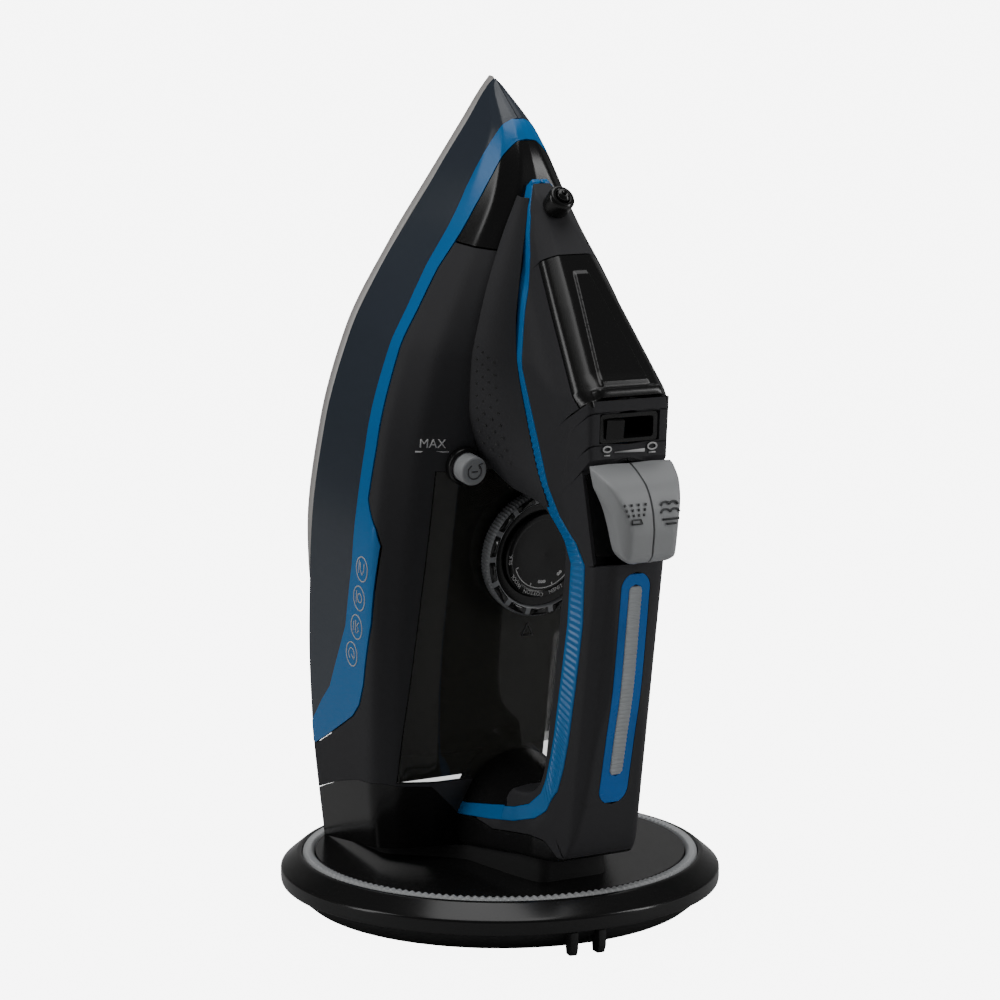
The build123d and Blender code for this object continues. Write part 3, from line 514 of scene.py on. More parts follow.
def loop_edges(rows):
    """Where the handle's pieces begin and end along each row, as a dictionary of parameters."""
    along, height = rows[..., 0], rows[..., 1]
    # How near a point is to the middle, counted only on the outer half of each row.
    inward = np.where(np.linspace(0, 1, rows.shape[1]) > 0.5, -rows[..., 2], -1e3)
    outer_l, outer_h = rows[:, -1, 0], rows[:, -1, 1]
    up = UP_H * (outer_h - SLOPE_H) + UP_L * (outer_l - SLOPE_L)
    edges = {"trim_in": crossing(side_of(along, height, TRIM_INNER)),
             "trim_out": crossing(side_of(along, height, TRIM_OUTER)),
             "heel": crossing(heel_line(height) - along),
             "up": up, "outer_l": outer_l}
    near_end = np.minimum(np.minimum(outer_l - 53.0, 140.5 - outer_l), 6.0)
    edges["on_strip"] = near_end > 0.05
    half = np.sqrt(np.maximum(36.0 - (6.0 - near_end) ** 2, 0.0))
    edges["strip"] = np.where(edges["on_strip"], crossing(inward, -half), 1.0)
    lens_end = np.minimum(np.minimum(outer_l - 64.0, 136.0 - outer_l), 2.6)
    edges["on_lens"] = lens_end > 0.02
    lens_half = np.sqrt(np.maximum(2.6 ** 2 - (2.6 - lens_end) ** 2, 0.0))
    edges["lens"] = np.where(edges["on_lens"], crossing(inward, -lens_half), 1.0)
    in_bay = (outer_l > 143.6) & (outer_l < 178.6)
    bay = crossing(height - (120.6 - (along - 143.2) * 0.285))
    edges["bay"] = np.where(in_bay, bay, 1.0)
    in_slider = (outer_l > 183.4) & (outer_l < 194.6)
    edges["slider"] = np.where(in_slider, crossing(inward, -12.2), 1.0)
    deep = OUT_H * (height - SLOPE_H) + OUT_L * (along - SLOPE_L)
    edges["on_door"] = (up > 19.0) & (up < 79.5)
    edges["door"] = np.where(edges["on_door"], crossing(deep, -5.4), 1.0)
    return edges


# ---- finishes ----------------------------------------------------------------------------------------
class Wiring:
    """Adds nodes to a tree and joins them, in short calls."""

    def __init__(self, tree):
        self.tree = tree

    def node(self, kind, **settings):
        item = self.tree.nodes.new(kind)
        for key, value in settings.items():
            setattr(item, key, value)
        return item

    def join(self, source, target):
        self.tree.links.new(source, target)

    def noise(self, coords, scale, detail=4.0, rough=0.55):
        item = self.node("ShaderNodeTexNoise")
        item.inputs["Scale"].default_value = scale
        item.inputs["Detail"].default_value = detail
        item.inputs["Roughness"].default_value = rough
        self.join(coords, item.inputs["Vector"])
        return item.outputs["Fac"]

    def span(self, value, low, high, to_low, to_high):
        item = self.node("ShaderNodeMapRange")
        for name, number in (("From Min", low), ("From Max", high), ("To Min", to_low), ("To Max", to_high)):
            item.inputs[name].default_value = number
        self.join(value, item.inputs["Value"])
        return item.outputs["Result"]

    def blend(self, factor, first, second):
        item = self.node("ShaderNodeMix", data_type="RGBA")
        self.join(factor, item.inputs["Factor"])
        for socket, colour in ((item.inputs["A"], first), (item.inputs["B"], second)):
            if isinstance(colour, tuple):
                socket.default_value = colour
            else:
                self.join(colour, socket)
        return item.outputs["Result"]


def group(name, inputs, outputs):
    """An empty node group with its named sockets, as (tree, wiring, input node, output node)."""
    tree = bpy.data.node_groups.new(name, "ShaderNodeTree")
    for label, kind, value in inputs:
        socket = tree.interface.new_socket(name=label, in_out="INPUT", socket_type=kind)
        if value is not None:
            socket.default_value = value
    for label, kind in outputs:
        tree.interface.new_socket(name=label, in_out="OUTPUT", socket_type=kind)
    wiring = Wiring(tree)
    return tree, wiring, wiring.node("NodeGroupInput"), wiring.node("NodeGroupOutput")


def handling_group():
    """Roughness of a handled surface: soft smudges of large noise and a fine even grain."""
    tree, w, start, end = group(
        "Handled surface",
        [("Vector", "NodeSocketVector", None), ("Polished", "NodeSocketFloat", 0.2),
         ("Worn", "NodeSocketFloat", 0.4), ("Smudge size", "NodeSocketFloat", 22.0)],
        [("Roughness", "NodeSocketFloat"), ("Mask", "NodeSocketFloat")])
    smudge = w.node("ShaderNodeTexNoise")
    w.join(start.outputs["Vector"], smudge.inputs["Vector"])
    w.join(start.outputs["Smudge size"], smudge.inputs["Scale"])
    smudge.inputs["Detail"].default_value = 6.0
    grain = w.noise(start.outputs["Vector"], 900.0, 2.0)
    mixed = w.node("ShaderNodeMath", operation="MULTIPLY_ADD")
    w.join(grain, mixed.inputs[0])
    mixed.inputs[1].default_value = 0.25
    w.join(w.span(smudge.outputs["Fac"], 0.35, 0.7, 0.0, 0.8), mixed.inputs[2])
    rough = w.node("ShaderNodeMapRange")
    w.join(mixed.outputs[0], rough.inputs["Value"])
    w.join(start.outputs["Polished"], rough.inputs["To Min"])
    w.join(start.outputs["Worn"], rough.inputs["To Max"])
    w.join(rough.outputs["Result"], end.inputs["Roughness"])
    w.join(mixed.outputs[0], end.inputs["Mask"])
    return tree


def grain_group():
    """A moulded skin's fine texture: tiny cells over fine noise, as a height."""
    tree, w, start, end = group(
        "Moulded grain",
        [("Vector", "NodeSocketVector", None), ("Scale", "NodeSocketFloat", 1800.0)],
        [("Height", "NodeSocketFloat"), ("Fleck", "NodeSocketFloat")])
    cells = w.node("ShaderNodeTexVoronoi")
    w.join(start.outputs["Vector"], cells.inputs["Vector"])
    w.join(start.outputs["Scale"], cells.inputs["Scale"])
    fine = w.noise(start.outputs["Vector"], 2600.0, 2.0)
    total = w.node("ShaderNodeMath", operation="ADD")
    w.join(cells.outputs["Distance"], total.inputs[0])
    w.join(fine, total.inputs[1])
    w.join(total.outputs[0], end.inputs["Height"])
    split = w.node("ShaderNodeSeparateColor")
    w.join(cells.outputs["Color"], split.inputs["Color"])
    w.join(w.span(split.outputs["Red"], 0.82, 1.0, 0.0, 1.0), end.inputs["Fleck"])
    return tree


def edge_rub_and_sheen_group():
    """Colour of a moulding: a little paler on its sharp edges, partly rubbed and partly a painted
    highlight where the edges catch the light, and mottled by slow noise.
    """
    tree, w, start, end = group(
        "Edge rub and sheen",
        [("Vector", "NodeSocketVector", None), ("Colour", "NodeSocketColor", (0.1, 0.1, 0.1, 1.0)),
         ("Edge colour", "NodeSocketColor", (0.3, 0.3, 0.3, 1.0)), ("Amount", "NodeSocketFloat", 0.3)],
        [("Colour", "NodeSocketColor")])
    shape = w.node("ShaderNodeNewGeometry")
    # Paler sharp edges: partly rubbing, partly a painted highlight where edges catch the light.
    edge = w.span(shape.outputs["Pointiness"], 0.52, 0.60, 0.0, 1.0)
    broken = w.span(w.noise(start.outputs["Vector"], 140.0, 5.0), 0.35, 0.7, 0.0, 1.0)
    both = w.node("ShaderNodeMath", operation="MULTIPLY")
    w.join(edge, both.inputs[0])
    w.join(broken, both.inputs[1])
    scaled = w.node("ShaderNodeMath", operation="MULTIPLY")
    w.join(both.outputs[0], scaled.inputs[0])
    w.join(start.outputs["Amount"], scaled.inputs[1])
    mixed = w.node("ShaderNodeMix", data_type="RGBA")
    w.join(scaled.outputs[0], mixed.inputs["Factor"])
    w.join(start.outputs["Colour"], mixed.inputs["A"])
    w.join(start.outputs["Edge colour"], mixed.inputs["B"])
    w.join(mixed.outputs["Result"], end.inputs["Colour"])
    return tree


def dust_group():
    """Dust that settles on upward faces: the mask is the normal's height times patchy noise."""
    tree, w, start, end = group(
        "Settled dust", [("Vector", "NodeSocketVector", None), ("Amount", "NodeSocketFloat", 0.1)],
        [("Mask", "NodeSocketFloat")])
    shape = w.node("ShaderNodeNewGeometry")
    split = w.node("ShaderNodeSeparateXYZ")
    w.join(shape.outputs["Normal"], split.inputs["Vector"])
    up = w.span(split.outputs["Z"], 0.3, 1.0, 0.0, 1.0)
    patch = w.span(w.noise(start.outputs["Vector"], 320.0, 8.0, 0.7), 0.45, 0.75, 0.0, 1.0)
    both = w.node("ShaderNodeMath", operation="MULTIPLY")
    w.join(up, both.inputs[0])
    w.join(patch, both.inputs[1])
    scaled = w.node("ShaderNodeMath", operation="MULTIPLY")
    w.join(both.outputs[0], scaled.inputs[0])
    w.join(start.outputs["Amount"], scaled.inputs[1])
    w.join(scaled.outputs[0], end.inputs["Mask"])
    return tree


def tint(colour, by):
    """A colour moved towards white (by above 0) or black (below 0), with full alpha."""
    goal = 1.0 if by > 0 else 0.0
    return tuple(c + (goal - c) * abs(by) for c in colour[:3]) + (1.0,)


def shade(colour, by):
    """A colour with its strength multiplied, with full alpha."""
    return tuple(min(c * by, 1.0) for c in colour[:3]) + (1.0,)


def finish(name, colour, polished, worn, metallic=0.0, coat=0.0, transmission=0.0, alpha=1.0, ior=1.47,
           grain=0.0, grain_scale=1800.0, fleck=None, dust=0.08, rub_and_sheen=0.25, brushed=0.0, sheen_edge=0.35,
           specular=0.4):
    """One finish: colour with paler edges (partly rubbed, partly a painted edge highlight), flecks and
    dust, roughness from handling, bump from grain.
    """
    material = bpy.data.materials.new(name)
    material.use_nodes = True
    material.node_tree.nodes.clear()
    w = Wiring(material.node_tree)
    out = w.node("ShaderNodeOutputMaterial")
    shader = w.node("ShaderNodeBsdfPrincipled")
    w.join(shader.outputs["BSDF"], out.inputs["Surface"])
    place = w.node("ShaderNodeTexCoord")
    coords = place.outputs["Object"]
    handled = w.node("ShaderNodeGroup", node_tree=bpy.data.node_groups["Handled surface"])
    handled.inputs["Polished"].default_value = polished
    handled.inputs["Worn"].default_value = worn
    skin = w.node("ShaderNodeGroup", node_tree=bpy.data.node_groups["Moulded grain"])
    skin.inputs["Scale"].default_value = grain_scale
    edge = w.node("ShaderNodeGroup", node_tree=bpy.data.node_groups["Edge rub and sheen"])
    # Paler edge colour: partly rubbing, partly a painted highlight on the edges.
    edge.inputs["Edge colour"].default_value = tint(colour, sheen_edge)
    edge.inputs["Amount"].default_value = rub_and_sheen
    settled = w.node("ShaderNodeGroup", node_tree=bpy.data.node_groups["Settled dust"])
    settled.inputs["Amount"].default_value = dust
    for part in (handled, skin, edge, settled):
        w.join(coords, part.inputs["Vector"])
    slow = w.span(w.noise(coords, 60.0, 5.0), 0.3, 0.7, 0.0, 1.0)
    mottled = w.blend(slow, shade(colour, 0.86), shade(colour, 1.12))
    if brushed:
        stretch = w.node("ShaderNodeMapping")
        stretch.inputs["Rotation"].default_value = (0.0, -bpy.context.scene.iron_sizes.lean, 0.0)
        stretch.inputs["Scale"].default_value = (900.0, 900.0, 9.0)
        w.join(coords, stretch.inputs["Vector"])
        streaks = w.node("ShaderNodeTexNoise")
        streaks.inputs["Scale"].default_value = 1.0
        streaks.inputs["Detail"].default_value = 5.0
        w.join(stretch.outputs["Vector"], streaks.inputs["Vector"])
        streak = w.span(streaks.outputs["Fac"], 0.38, 0.68, 0.0, brushed)
        mottled = w.blend(streak, mottled, shade(colour, 3.2))
    if fleck:
        mottled = w.blend(skin.outputs["Fleck"], mottled, tuple(fleck) + (1.0,))
    w.join(mottled, edge.inputs["Colour"])
    dusty = w.blend(settled.outputs["Mask"], edge.outputs["Colour"], (0.42, 0.41, 0.39, 1.0))
    w.join(dusty, shader.inputs["Base Color"])
    w.join(handled.outputs["Roughness"], shader.inputs["Roughness"])
    shader.inputs["Metallic"].default_value = metallic
    shader.inputs["IOR"].default_value = ior
    shader.inputs["Specular IOR Level"].default_value = specular
    shader.inputs["Coat Weight"].default_value = coat
    shader.inputs["Coat Roughness"].default_value = 0.06
    shader.inputs["Transmission Weight"].default_value = transmission
    shader.inputs["Alpha"].default_value = alpha
    if grain:
        bump = w.node("ShaderNodeBump")
        bump.inputs["Strength"].default_value = grain
        bump.inputs["Distance"].default_value = 0.0001
        w.join(skin.outputs["Height"], bump.inputs["Height"])
        w.join(bump.outputs["Normal"], shader.inputs["Normal"])
    return material


class IronSizes(bpy.types.PropertyGroup):
    """Sizes and counts that shape the pieces."""

    lean: FloatProperty(name="Lean", description="How far the iron leans back on its base",
                        default=math.radians(9.0), subtype="ANGLE")
    wall: FloatProperty(name="Wall", description="Thickness of the moulded skins", default=0.0016,
                        unit="LENGTH")
    seam: FloatProperty(name="Seam", description="Half the gap between neighbouring skins", default=0.00014,
                        unit="LENGTH")
    ease: FloatProperty(name="Eased edge", description="Width of the eased edges of the skins", default=0.0003,
                        unit="LENGTH")
    base_radius: FloatProperty(name="Base radius", description="Outer radius of the charging base",
                               default=0.0825, unit="LENGTH")
    ring_ribs: IntProperty(name="Ring ribs", description="Fine ribs round the base's clear ring", default=170)
    dial_ribs: IntProperty(name="Dial ribs", description="Grips round the dial", default=110)
    trim_pitch: FloatProperty(name="Trim pitch", description="Distance between the ridges of the blue trim",
                              default=0.0024, unit="LENGTH")
    lens_pitch: FloatProperty(name="Lens pitch", description="Distance between the ribs of the clear lens",
                              default=0.0016, unit="LENGTH")


class IronColours(bpy.types.PropertyGroup):
    """Colours of the finishes."""

    blue: FloatVectorProperty(name="Blue", description="Band and trim", subtype="COLOR",
                              default=(0.0, 0.13, 0.50))
    shell: FloatVectorProperty(name="Shell", description="Satin shells", subtype="COLOR",
                               default=(0.0034, 0.0034, 0.0044))
    skirt: FloatVectorProperty(name="Skirt", description="Brushed skirt", subtype="COLOR",
                               default=(0.003, 0.0034, 0.008))
    button: FloatVectorProperty(name="Buttons", description="Thumb buttons", subtype="COLOR",
                                default=(0.24, 0.243, 0.248))
    floor: FloatVectorProperty(name="Floor", description="Floor and backdrop", subtype="COLOR",
                               default=(0.5, 0.5, 0.5))


class IRON_OT_finishes(bpy.types.Operator):
    """Makes every finish and puts it on the CAD nodes that use it"""

    bl_idname = "iron.finishes"
    bl_label = "Finishes"

    def execute(self, context):
        handling_group()
        grain_group()
        edge_rub_and_sheen_group()
        dust_group()
        c = context.scene.iron_colours
        black = (0.002, 0.002, 0.0023)
        finish("soleplate", (0.60, 0.585, 0.56), 0.28, 0.42, metallic=0.15, grain=0.15, grain_scale=2600.0,
               fleck=(0.30, 0.29, 0.28), rub_and_sheen=0.1)
        finish("cast_metal", (0.55, 0.55, 0.56), 0.38, 0.6, metallic=1.0, grain=0.6, grain_scale=900.0)
        finish("element_steel", (0.50, 0.50, 0.51), 0.22, 0.42, metallic=1.0, grain=0.2)
        finish("heat_resin", (0.03, 0.028, 0.026), 0.5, 0.7, grain=0.4)
        finish("brushed_skirt", tuple(c.skirt), 0.16, 0.27, coat=0.12, brushed=0.35, dust=0.01, rub_and_sheen=0.05,
               specular=0.14)
        finish("blue_trim", tuple(c.blue), 0.32, 0.44, grain=0.12, dust=0.01, rub_and_sheen=0.1, sheen_edge=0.1,
               specular=0.08)
        finish("satin_shell", tuple(c.shell), 0.30, 0.38, grain=0.1, fleck=(0.011, 0.0112, 0.015),
               specular=0.09, grain_scale=3200.0, dust=0.008, rub_and_sheen=0.06, sheen_edge=0.03)
        finish("smoky_tank", (0.009, 0.0085, 0.009), 0.035, 0.10, transmission=0.12, dust=0.004, rub_and_sheen=0.05,
               specular=0.3, ior=1.49)
        finish("gloss_black", black, 0.07, 0.16, dust=0.01, rub_and_sheen=0.06, sheen_edge=0.02, specular=0.2)
        finish("matte_black", (0.006, 0.006, 0.0063), 0.42, 0.56, grain=0.3, specular=0.1, dust=0.004,
               rub_and_sheen=0.15, sheen_edge=0.1)
        finish("light_grey", tuple(c.button), 0.38, 0.5, grain=0.2, dust=0.01, rub_and_sheen=0.1, sheen_edge=0.1,
               specular=0.25)
        finish("knurled_grey", (0.16, 0.165, 0.17), 0.14, 0.24, transmission=0.25, coat=0.12, grain=0.1,
               dust=0.04)
        finish("clear_ring", (0.78, 0.78, 0.80), 0.08, 0.18, metallic=0.35, transmission=0.3, dust=0.05)
        finish("clear_lens", (0.62, 0.64, 0.66), 0.18, 0.3, transmission=0.3, grain=0.1, dust=0.03)
        finish("circuit_board", (0.02, 0.11, 0.04), 0.3, 0.5, coat=0.12, grain=0.2)
        finish("contact_metal", (0.78, 0.57, 0.30), 0.16, 0.3, metallic=1.0, grain=0.1)
        finish("seal_rubber", (0.03, 0.03, 0.031), 0.55, 0.75, grain=0.5)
        finish("print_white", (0.72, 0.72, 0.72), 0.4, 0.5, grain=0.1, dust=0.0, rub_and_sheen=0.1)
        finish("print_dark", (0.055, 0.058, 0.06), 0.4, 0.5, grain=0.1, dust=0.0, rub_and_sheen=0.1)
        finish("strip_blue", (0.0, 0.17, 0.60), 0.22, 0.34, coat=0.08, grain=0.05, dust=0.02, rub_and_sheen=0.1,
               sheen_edge=0.15)
        for part in frame["record"]["subparts"]:
            node = frame["nodes"][part["node"]]
            node.data.materials.clear()
            node.data.materials.append(bpy.data.materials[part["material_slot"]])
        return {"FINISHED"}


def skin(name, parts, nodes, slot, body="iron", ease=True, wall=None):
    """A moulded skin from its patches: a thin wall with eased edges, in place of CAD nodes."""
    sizes = bpy.context.scene.iron_sizes
    piece = mesh_piece(name, parts)
    thicken(piece, (wall if wall is not None else sizes.wall / MM), sizes.ease / MM if ease else 0.0)
    return dress(piece, body, nodes, slot)


class IRON_OT_sole(bpy.types.Operator):
    """The soleplate: its outline is a smooth curve from heel to tip, and its section a rounded edge"""

    bl_idname = "iron.sole"
    bl_label = "Soleplate"

    def execute(self, context):
        along = np.concatenate([np.linspace(0, 0.5, 10, endpoint=False) ** 2 * 60 + 75,
                                np.linspace(90, 292, 170)])
        knots = (75, 88, 109, 132, 165, 200, 232, 256, 276, 287, 292)
        widths = (46, 55.5, 61.2, 63.1, 60.6, 52.6, 36.9, 22.4, 10.2, 3.6, 0.0)
        half = smooth_curve(along, knots, widths)
        # Each ring of the section is the outline moved inwards, from the underside over the edge to the top.
        inset = np.array([60.0, 2.2, 0.8, 0.15, 0.0, 0.0, 0.3, 0.9, 60.0])
        level = np.array([0.0, 0.0, 0.25, 0.9, 1.6, 4.2, 4.8, 4.98, 4.98])
        ring_l = np.concatenate([along, along[::-1][1:]])
        ring_y = np.concatenate([half, -half[::-1][1:]])
        centre_l = 165.0
        scale = np.clip(1 - inset / 60.0, 0, 1)[None, :]
        points = iron_point(centre_l + (ring_l[:, None] - centre_l) * scale,
                            np.broadcast_to(level, (len(ring_l), len(level))), ring_y[:, None] * scale)
        quads = grid_faces(len(ring_l), len(level), close_rows=True)
        piece = mesh_piece("soleplate_skin", [(points, quads)], recalc=True)
        dress(piece, "iron", ["soleplate"], "soleplate")
        holes = []
        for hole_l, hole_y in [(258, 5), (240, 13), (222, 22), (204, 30), (186, 37), (168, 42), (150, 45),
                               (132, 46.5), (114, 46)]:
            for side in (-1, 1):
                for radius, dl, dy in ((1.7, 0, 0), (1.2, -8, -5)):
                    cup = [(radius + 0.5, -0.02), (radius + 0.2, -0.05), (radius, 0.1), (radius * 0.6, 0.3),
                           (0.01, 0.3)]
                    points, _ = turned(cup, 20, dial=(hole_l + dl, side * (hole_y + dy)))
                    holes.append((points, grid_faces(20, len(cup), close_rows=True)))
        rims = mesh_piece("steam_outlets", holes)
        dress(rims, "iron", [], "heat_resin")
        return {"FINISHED"}


class IRON_OT_body(bpy.types.Operator):
    """Skirt, blue band, satin shell, smoky window and nose panel, all cut from the body's master surface"""

    bl_idname = "iron.body"
    bl_label = "Body skins"

    def execute(self, context):
        seam = context.scene.iron_sizes.seam / MM
        along = np.concatenate([np.linspace(40.2, 262, 270), np.linspace(262.4, 291.4, 90)])
        rows = body_rows(along)
        low, high = band_edges(rows)
        gap = seam / np.linalg.norm(np.diff(rows[:, :, 1:], axis=1), axis=2).sum(axis=1)
        on_skirt = low > 0.004
        lower = between(rows[on_skirt], 0.001, np.maximum(low[on_skirt] - gap[on_skirt], 0.002), 40)
        skin("skirt_skin", both_sides(lower), ["skirt"], "brushed_skirt")
        on_band = (high > low + 0.002) & (low < 0.995)
        middle = between(rows[on_band], low[on_band] + 0.2 * gap[on_band],
                         np.where(high[on_band] > 0.995, 1.0, high[on_band] - gap[on_band]), 30)
        middle[..., 2] += 0.12 * np.where(middle[..., 2] > 0.3, 1.0, 0.0)
        skin("side_band_skin", both_sides(middle), ["side_band"], "blue_trim")

        along = np.concatenate([np.linspace(40.2, 160, 124), np.linspace(160.6, 237.2, 80)])
        rows = body_rows(along)
        low, high = band_edges(rows)
        edge = window_edge(rows)
        start = high + 0.006
        edge = np.maximum(edge, start + 0.01)
        outside = between(rows, start, edge - 0.002, 30)
        inside = between(rows, edge - 0.002, 1.0, 40)
        shell = np.concatenate([outside, inside[:, 1:]], axis=1)
        keep = np.ones((shell.shape[0] - 1, shell.shape[1] - 1), bool)
        open_rows = along[:-1] < 159.9
        keep[open_rows, 29:] = False
        rear = heel_patch(lambda h, y: heel_seam(h, y) + 0.06, lambda h, y: np.full_like(h, 40.3), 10)
        skin("upper_shell_skin", both_sides(shell, keep) + both_sides(rear), ["upper_shell"], "satin_shell")

        rows = body_rows(np.linspace(40.3, 159.95, 130))
        deck = between(rows, window_edge(rows) + 0.002, 1.0, 60)
        skin("tank_window_skin", both_sides(deck), ["tank_window"], "smoky_tank")

        rows = body_rows(np.linspace(237.8, 275.4, 60))
        low, high = band_edges(rows)
        on_nose = high < 0.985
        nose = between(rows[on_nose], high[on_nose] + 0.006, 1.0, 40)
        skin("nose_panel_skin", both_sides(nose), ["nose_panel"], "gloss_black")
        return {"FINISHED"}


class IRON_OT_heel(bpy.types.Operator):
    """Heel cover: the body's and the rear foot's skins from the heel's sloping underside to the seam"""

    bl_idname = "iron.heel"
    bl_label = "Heel cover"

    def execute(self, context):
        flank = heel_patch(heel_underside, lambda h, y: heel_seam(h, y) - 0.06)
        rows = loop_rows()
        edges = loop_edges(rows)
        start = np.maximum(edges["heel"], edges["trim_out"])
        on_heel = (start < 0.99) & (rows[:, -1, 1] > 52) & (rows[:, -1, 0] < 40)
        back = between(rows[on_heel], start[on_heel] + 0.004, 1.0, 40)
        parts = both_sides(flank) + both_sides(back)
        skin("heel_cover_skin", parts, ["heel_cover"], "gloss_black")
        return {"FINISHED"}


class IRON_OT_handle(bpy.types.Operator):
    """Handle shells, rear foot, ridged trim, top strip and ribbed lens, cut from the loop's master surface"""

    bl_idname = "iron.handle"
    bl_label = "Handle"

    def execute(self, context):
        sizes = context.scene.iron_sizes
        rows = loop_rows()
        edges = loop_edges(rows)
        inner_h = rows[:, 0, 1]
        line = np.arange(len(rows))
        first = line[:len(rows) // 2]
        foot_end = int(first[inner_h[first] > 86.0][0])
        tail = int(first[rows[first, -1, 1] > 55.0][0])
        top = np.minimum.reduce([edges["heel"], edges["strip"], edges["bay"], edges["slider"], edges["door"]])
        top = np.where(top > 0.999, 1.0, top - 0.002)
        trim_in, trim_out = edges["trim_in"], edges["trim_out"]

        foot_rows = (line <= foot_end) & (rows[:, 0, 1] > 50)
        foot = between(rows[foot_rows], 0.0, trim_in[foot_rows] - 0.003, 50)
        skin("rear_foot_skin", both_sides(foot), ["handle_rear_foot"], "gloss_black")

        inner_rows = (line > foot_end) & (line < len(rows) - 3)
        on_trim = (line >= tail) & (line < len(rows) - 1)
        outer_rows = on_trim & (top > trim_out + 0.01)
        inner = between(rows[inner_rows], 0.0, trim_in[inner_rows] - 0.002, 40)
        outer = between(rows[outer_rows], trim_out[outer_rows] + 0.002,
                        np.maximum(top[outer_rows], trim_out[outer_rows] + 0.004), 60)
        for side, name in ((1, "right"), (-1, "left")):
            parts = one_side(inner, side) + one_side(outer, side)
            skin(f"handle_{name}_skin", parts, [f"handle_{name}_shell"], "satin_shell")

        trim = between(rows[on_trim], trim_in[on_trim], trim_out[on_trim], 16)
        run = np.concatenate([[0.0], np.cumsum(np.linalg.norm(np.diff(trim[:, 8], axis=0), axis=1))])
        grip = np.clip((trim[:, 8, 0] - 50.0) / 6.0, 0, 1) * np.clip((188.0 - trim[:, 8, 0]) / 10.0, 0, 1)
        fine = np.linspace(0, len(trim) - 1, len(trim) * 3)
        i = np.minimum(fine.astype(int), len(trim) - 2)
        part = (fine - i)[:, None, None]
        dense = trim[i] * (1 - part) + trim[i + 1] * part
        across = np.linspace(0, 1, 16)[None, :]
        lane = np.clip(np.minimum(across, 1 - across) * 8 - 0.6, 0, 1)
        wave = np.interp(fine, np.arange(len(run)), run)[:, None] / (sizes.trim_pitch / MM) + across * 0.5
        ridge = np.interp(fine, np.arange(len(run)), grip)[:, None] * lane
        dense[..., 2] += 0.25 + 0.16 * ridge * np.sin(2 * math.pi * wave)
        skin("handle_trim_skin", both_sides(dense), ["handle_trim"], "blue_trim", ease=False, wall=1.4)

        on = edges["on_strip"]
        strip_end = np.where(edges["on_lens"], edges["lens"] - 0.001, 1.0)
        strip = between(rows[on], edges["strip"][on] + 0.002, strip_end[on], 16)
        skin("handle_strip_skin", both_sides(strip), ["handle_strip"], "strip_blue")
        on = edges["on_lens"]
        lens = between(rows[on], edges["lens"][on] + 0.001, 1.0, 10)
        fine = np.linspace(0, len(lens) - 1, 420)
        i = np.minimum(fine.astype(int), len(lens) - 2)
        part = (fine - i)[:, None, None]
        lens = lens[i] * (1 - part) + lens[i + 1] * part
        lens[..., 1] += 0.22 + 0.14 * np.sin(2 * math.pi * lens[..., 0] / (sizes.lens_pitch / MM))
        skin("strip_lens_skin", both_sides(lens), ["strip_lens"], "clear_lens", ease=False)
        return {"FINISHED"}


class IRON_OT_cheeks(bpy.types.Operator):
    """Cheek panels: rows from the deck's crease up to the column, bowed outwards by a half sine"""

    bl_idname = "iron.cheeks"
    bl_label = "Cheek panels"

    def execute(self, context):
        # L, then height and half width of the lower and of the upper edge.
        stations = np.array([
            (156.5, 72, 19.4, 96, 19.4), (160, 66.5, 22.4, 93.5, 19.6), (168, 59.2, 27.6, 87.5, 19.8),
            (184, 57.4, 31.6, 78, 19.9), (200, 55.4, 31.2, 69, 19.6), (214, 52.4, 27.8, 63.5, 18.4),
            (228, 49.2, 22.6, 58.6, 15.4), (243, 44.8, 15.6, 52.3, 10.9), (256, 41.4, 8.8, 46.2, 6.4)])
        along = np.linspace(156.5, 256, 120)
        low_h, low_y, high_h, high_y = smooth_curve(along, stations[:, 0], stations[:, 1:]).T
        a = np.linspace(0, 1, 30)[None, :]
        bow = np.sin(a * math.pi) * np.clip((along - 156) / 30, 0, 1)[:, None] * 1.2
        height = low_h[:, None] * (1 - a) + high_h[:, None] * a + bow * 0.5
        across = low_y[:, None] * (1 - a) + high_y[:, None] * a + bow
        rows = np.stack([np.broadcast_to(along[:, None], height.shape), height, across], axis=-1)
        for side, name in ((1, "right"), (-1, "left")):
            skin(f"cheek_{name}_skin", one_side(rows, side), [f"cheek_panel_{name}"], "satin_shell")
        return {"FINISHED"}


def slope_point(up, out, across):
    """(L, H, Y) of a place on the column's front: distance up the slope, out of it, and across."""
    along = SLOPE_L + up * UP_L + out * OUT_L
    height = SLOPE_H + up * UP_H + out * OUT_H
    return np.stack([along, height, across + 0 * along], axis=-1)


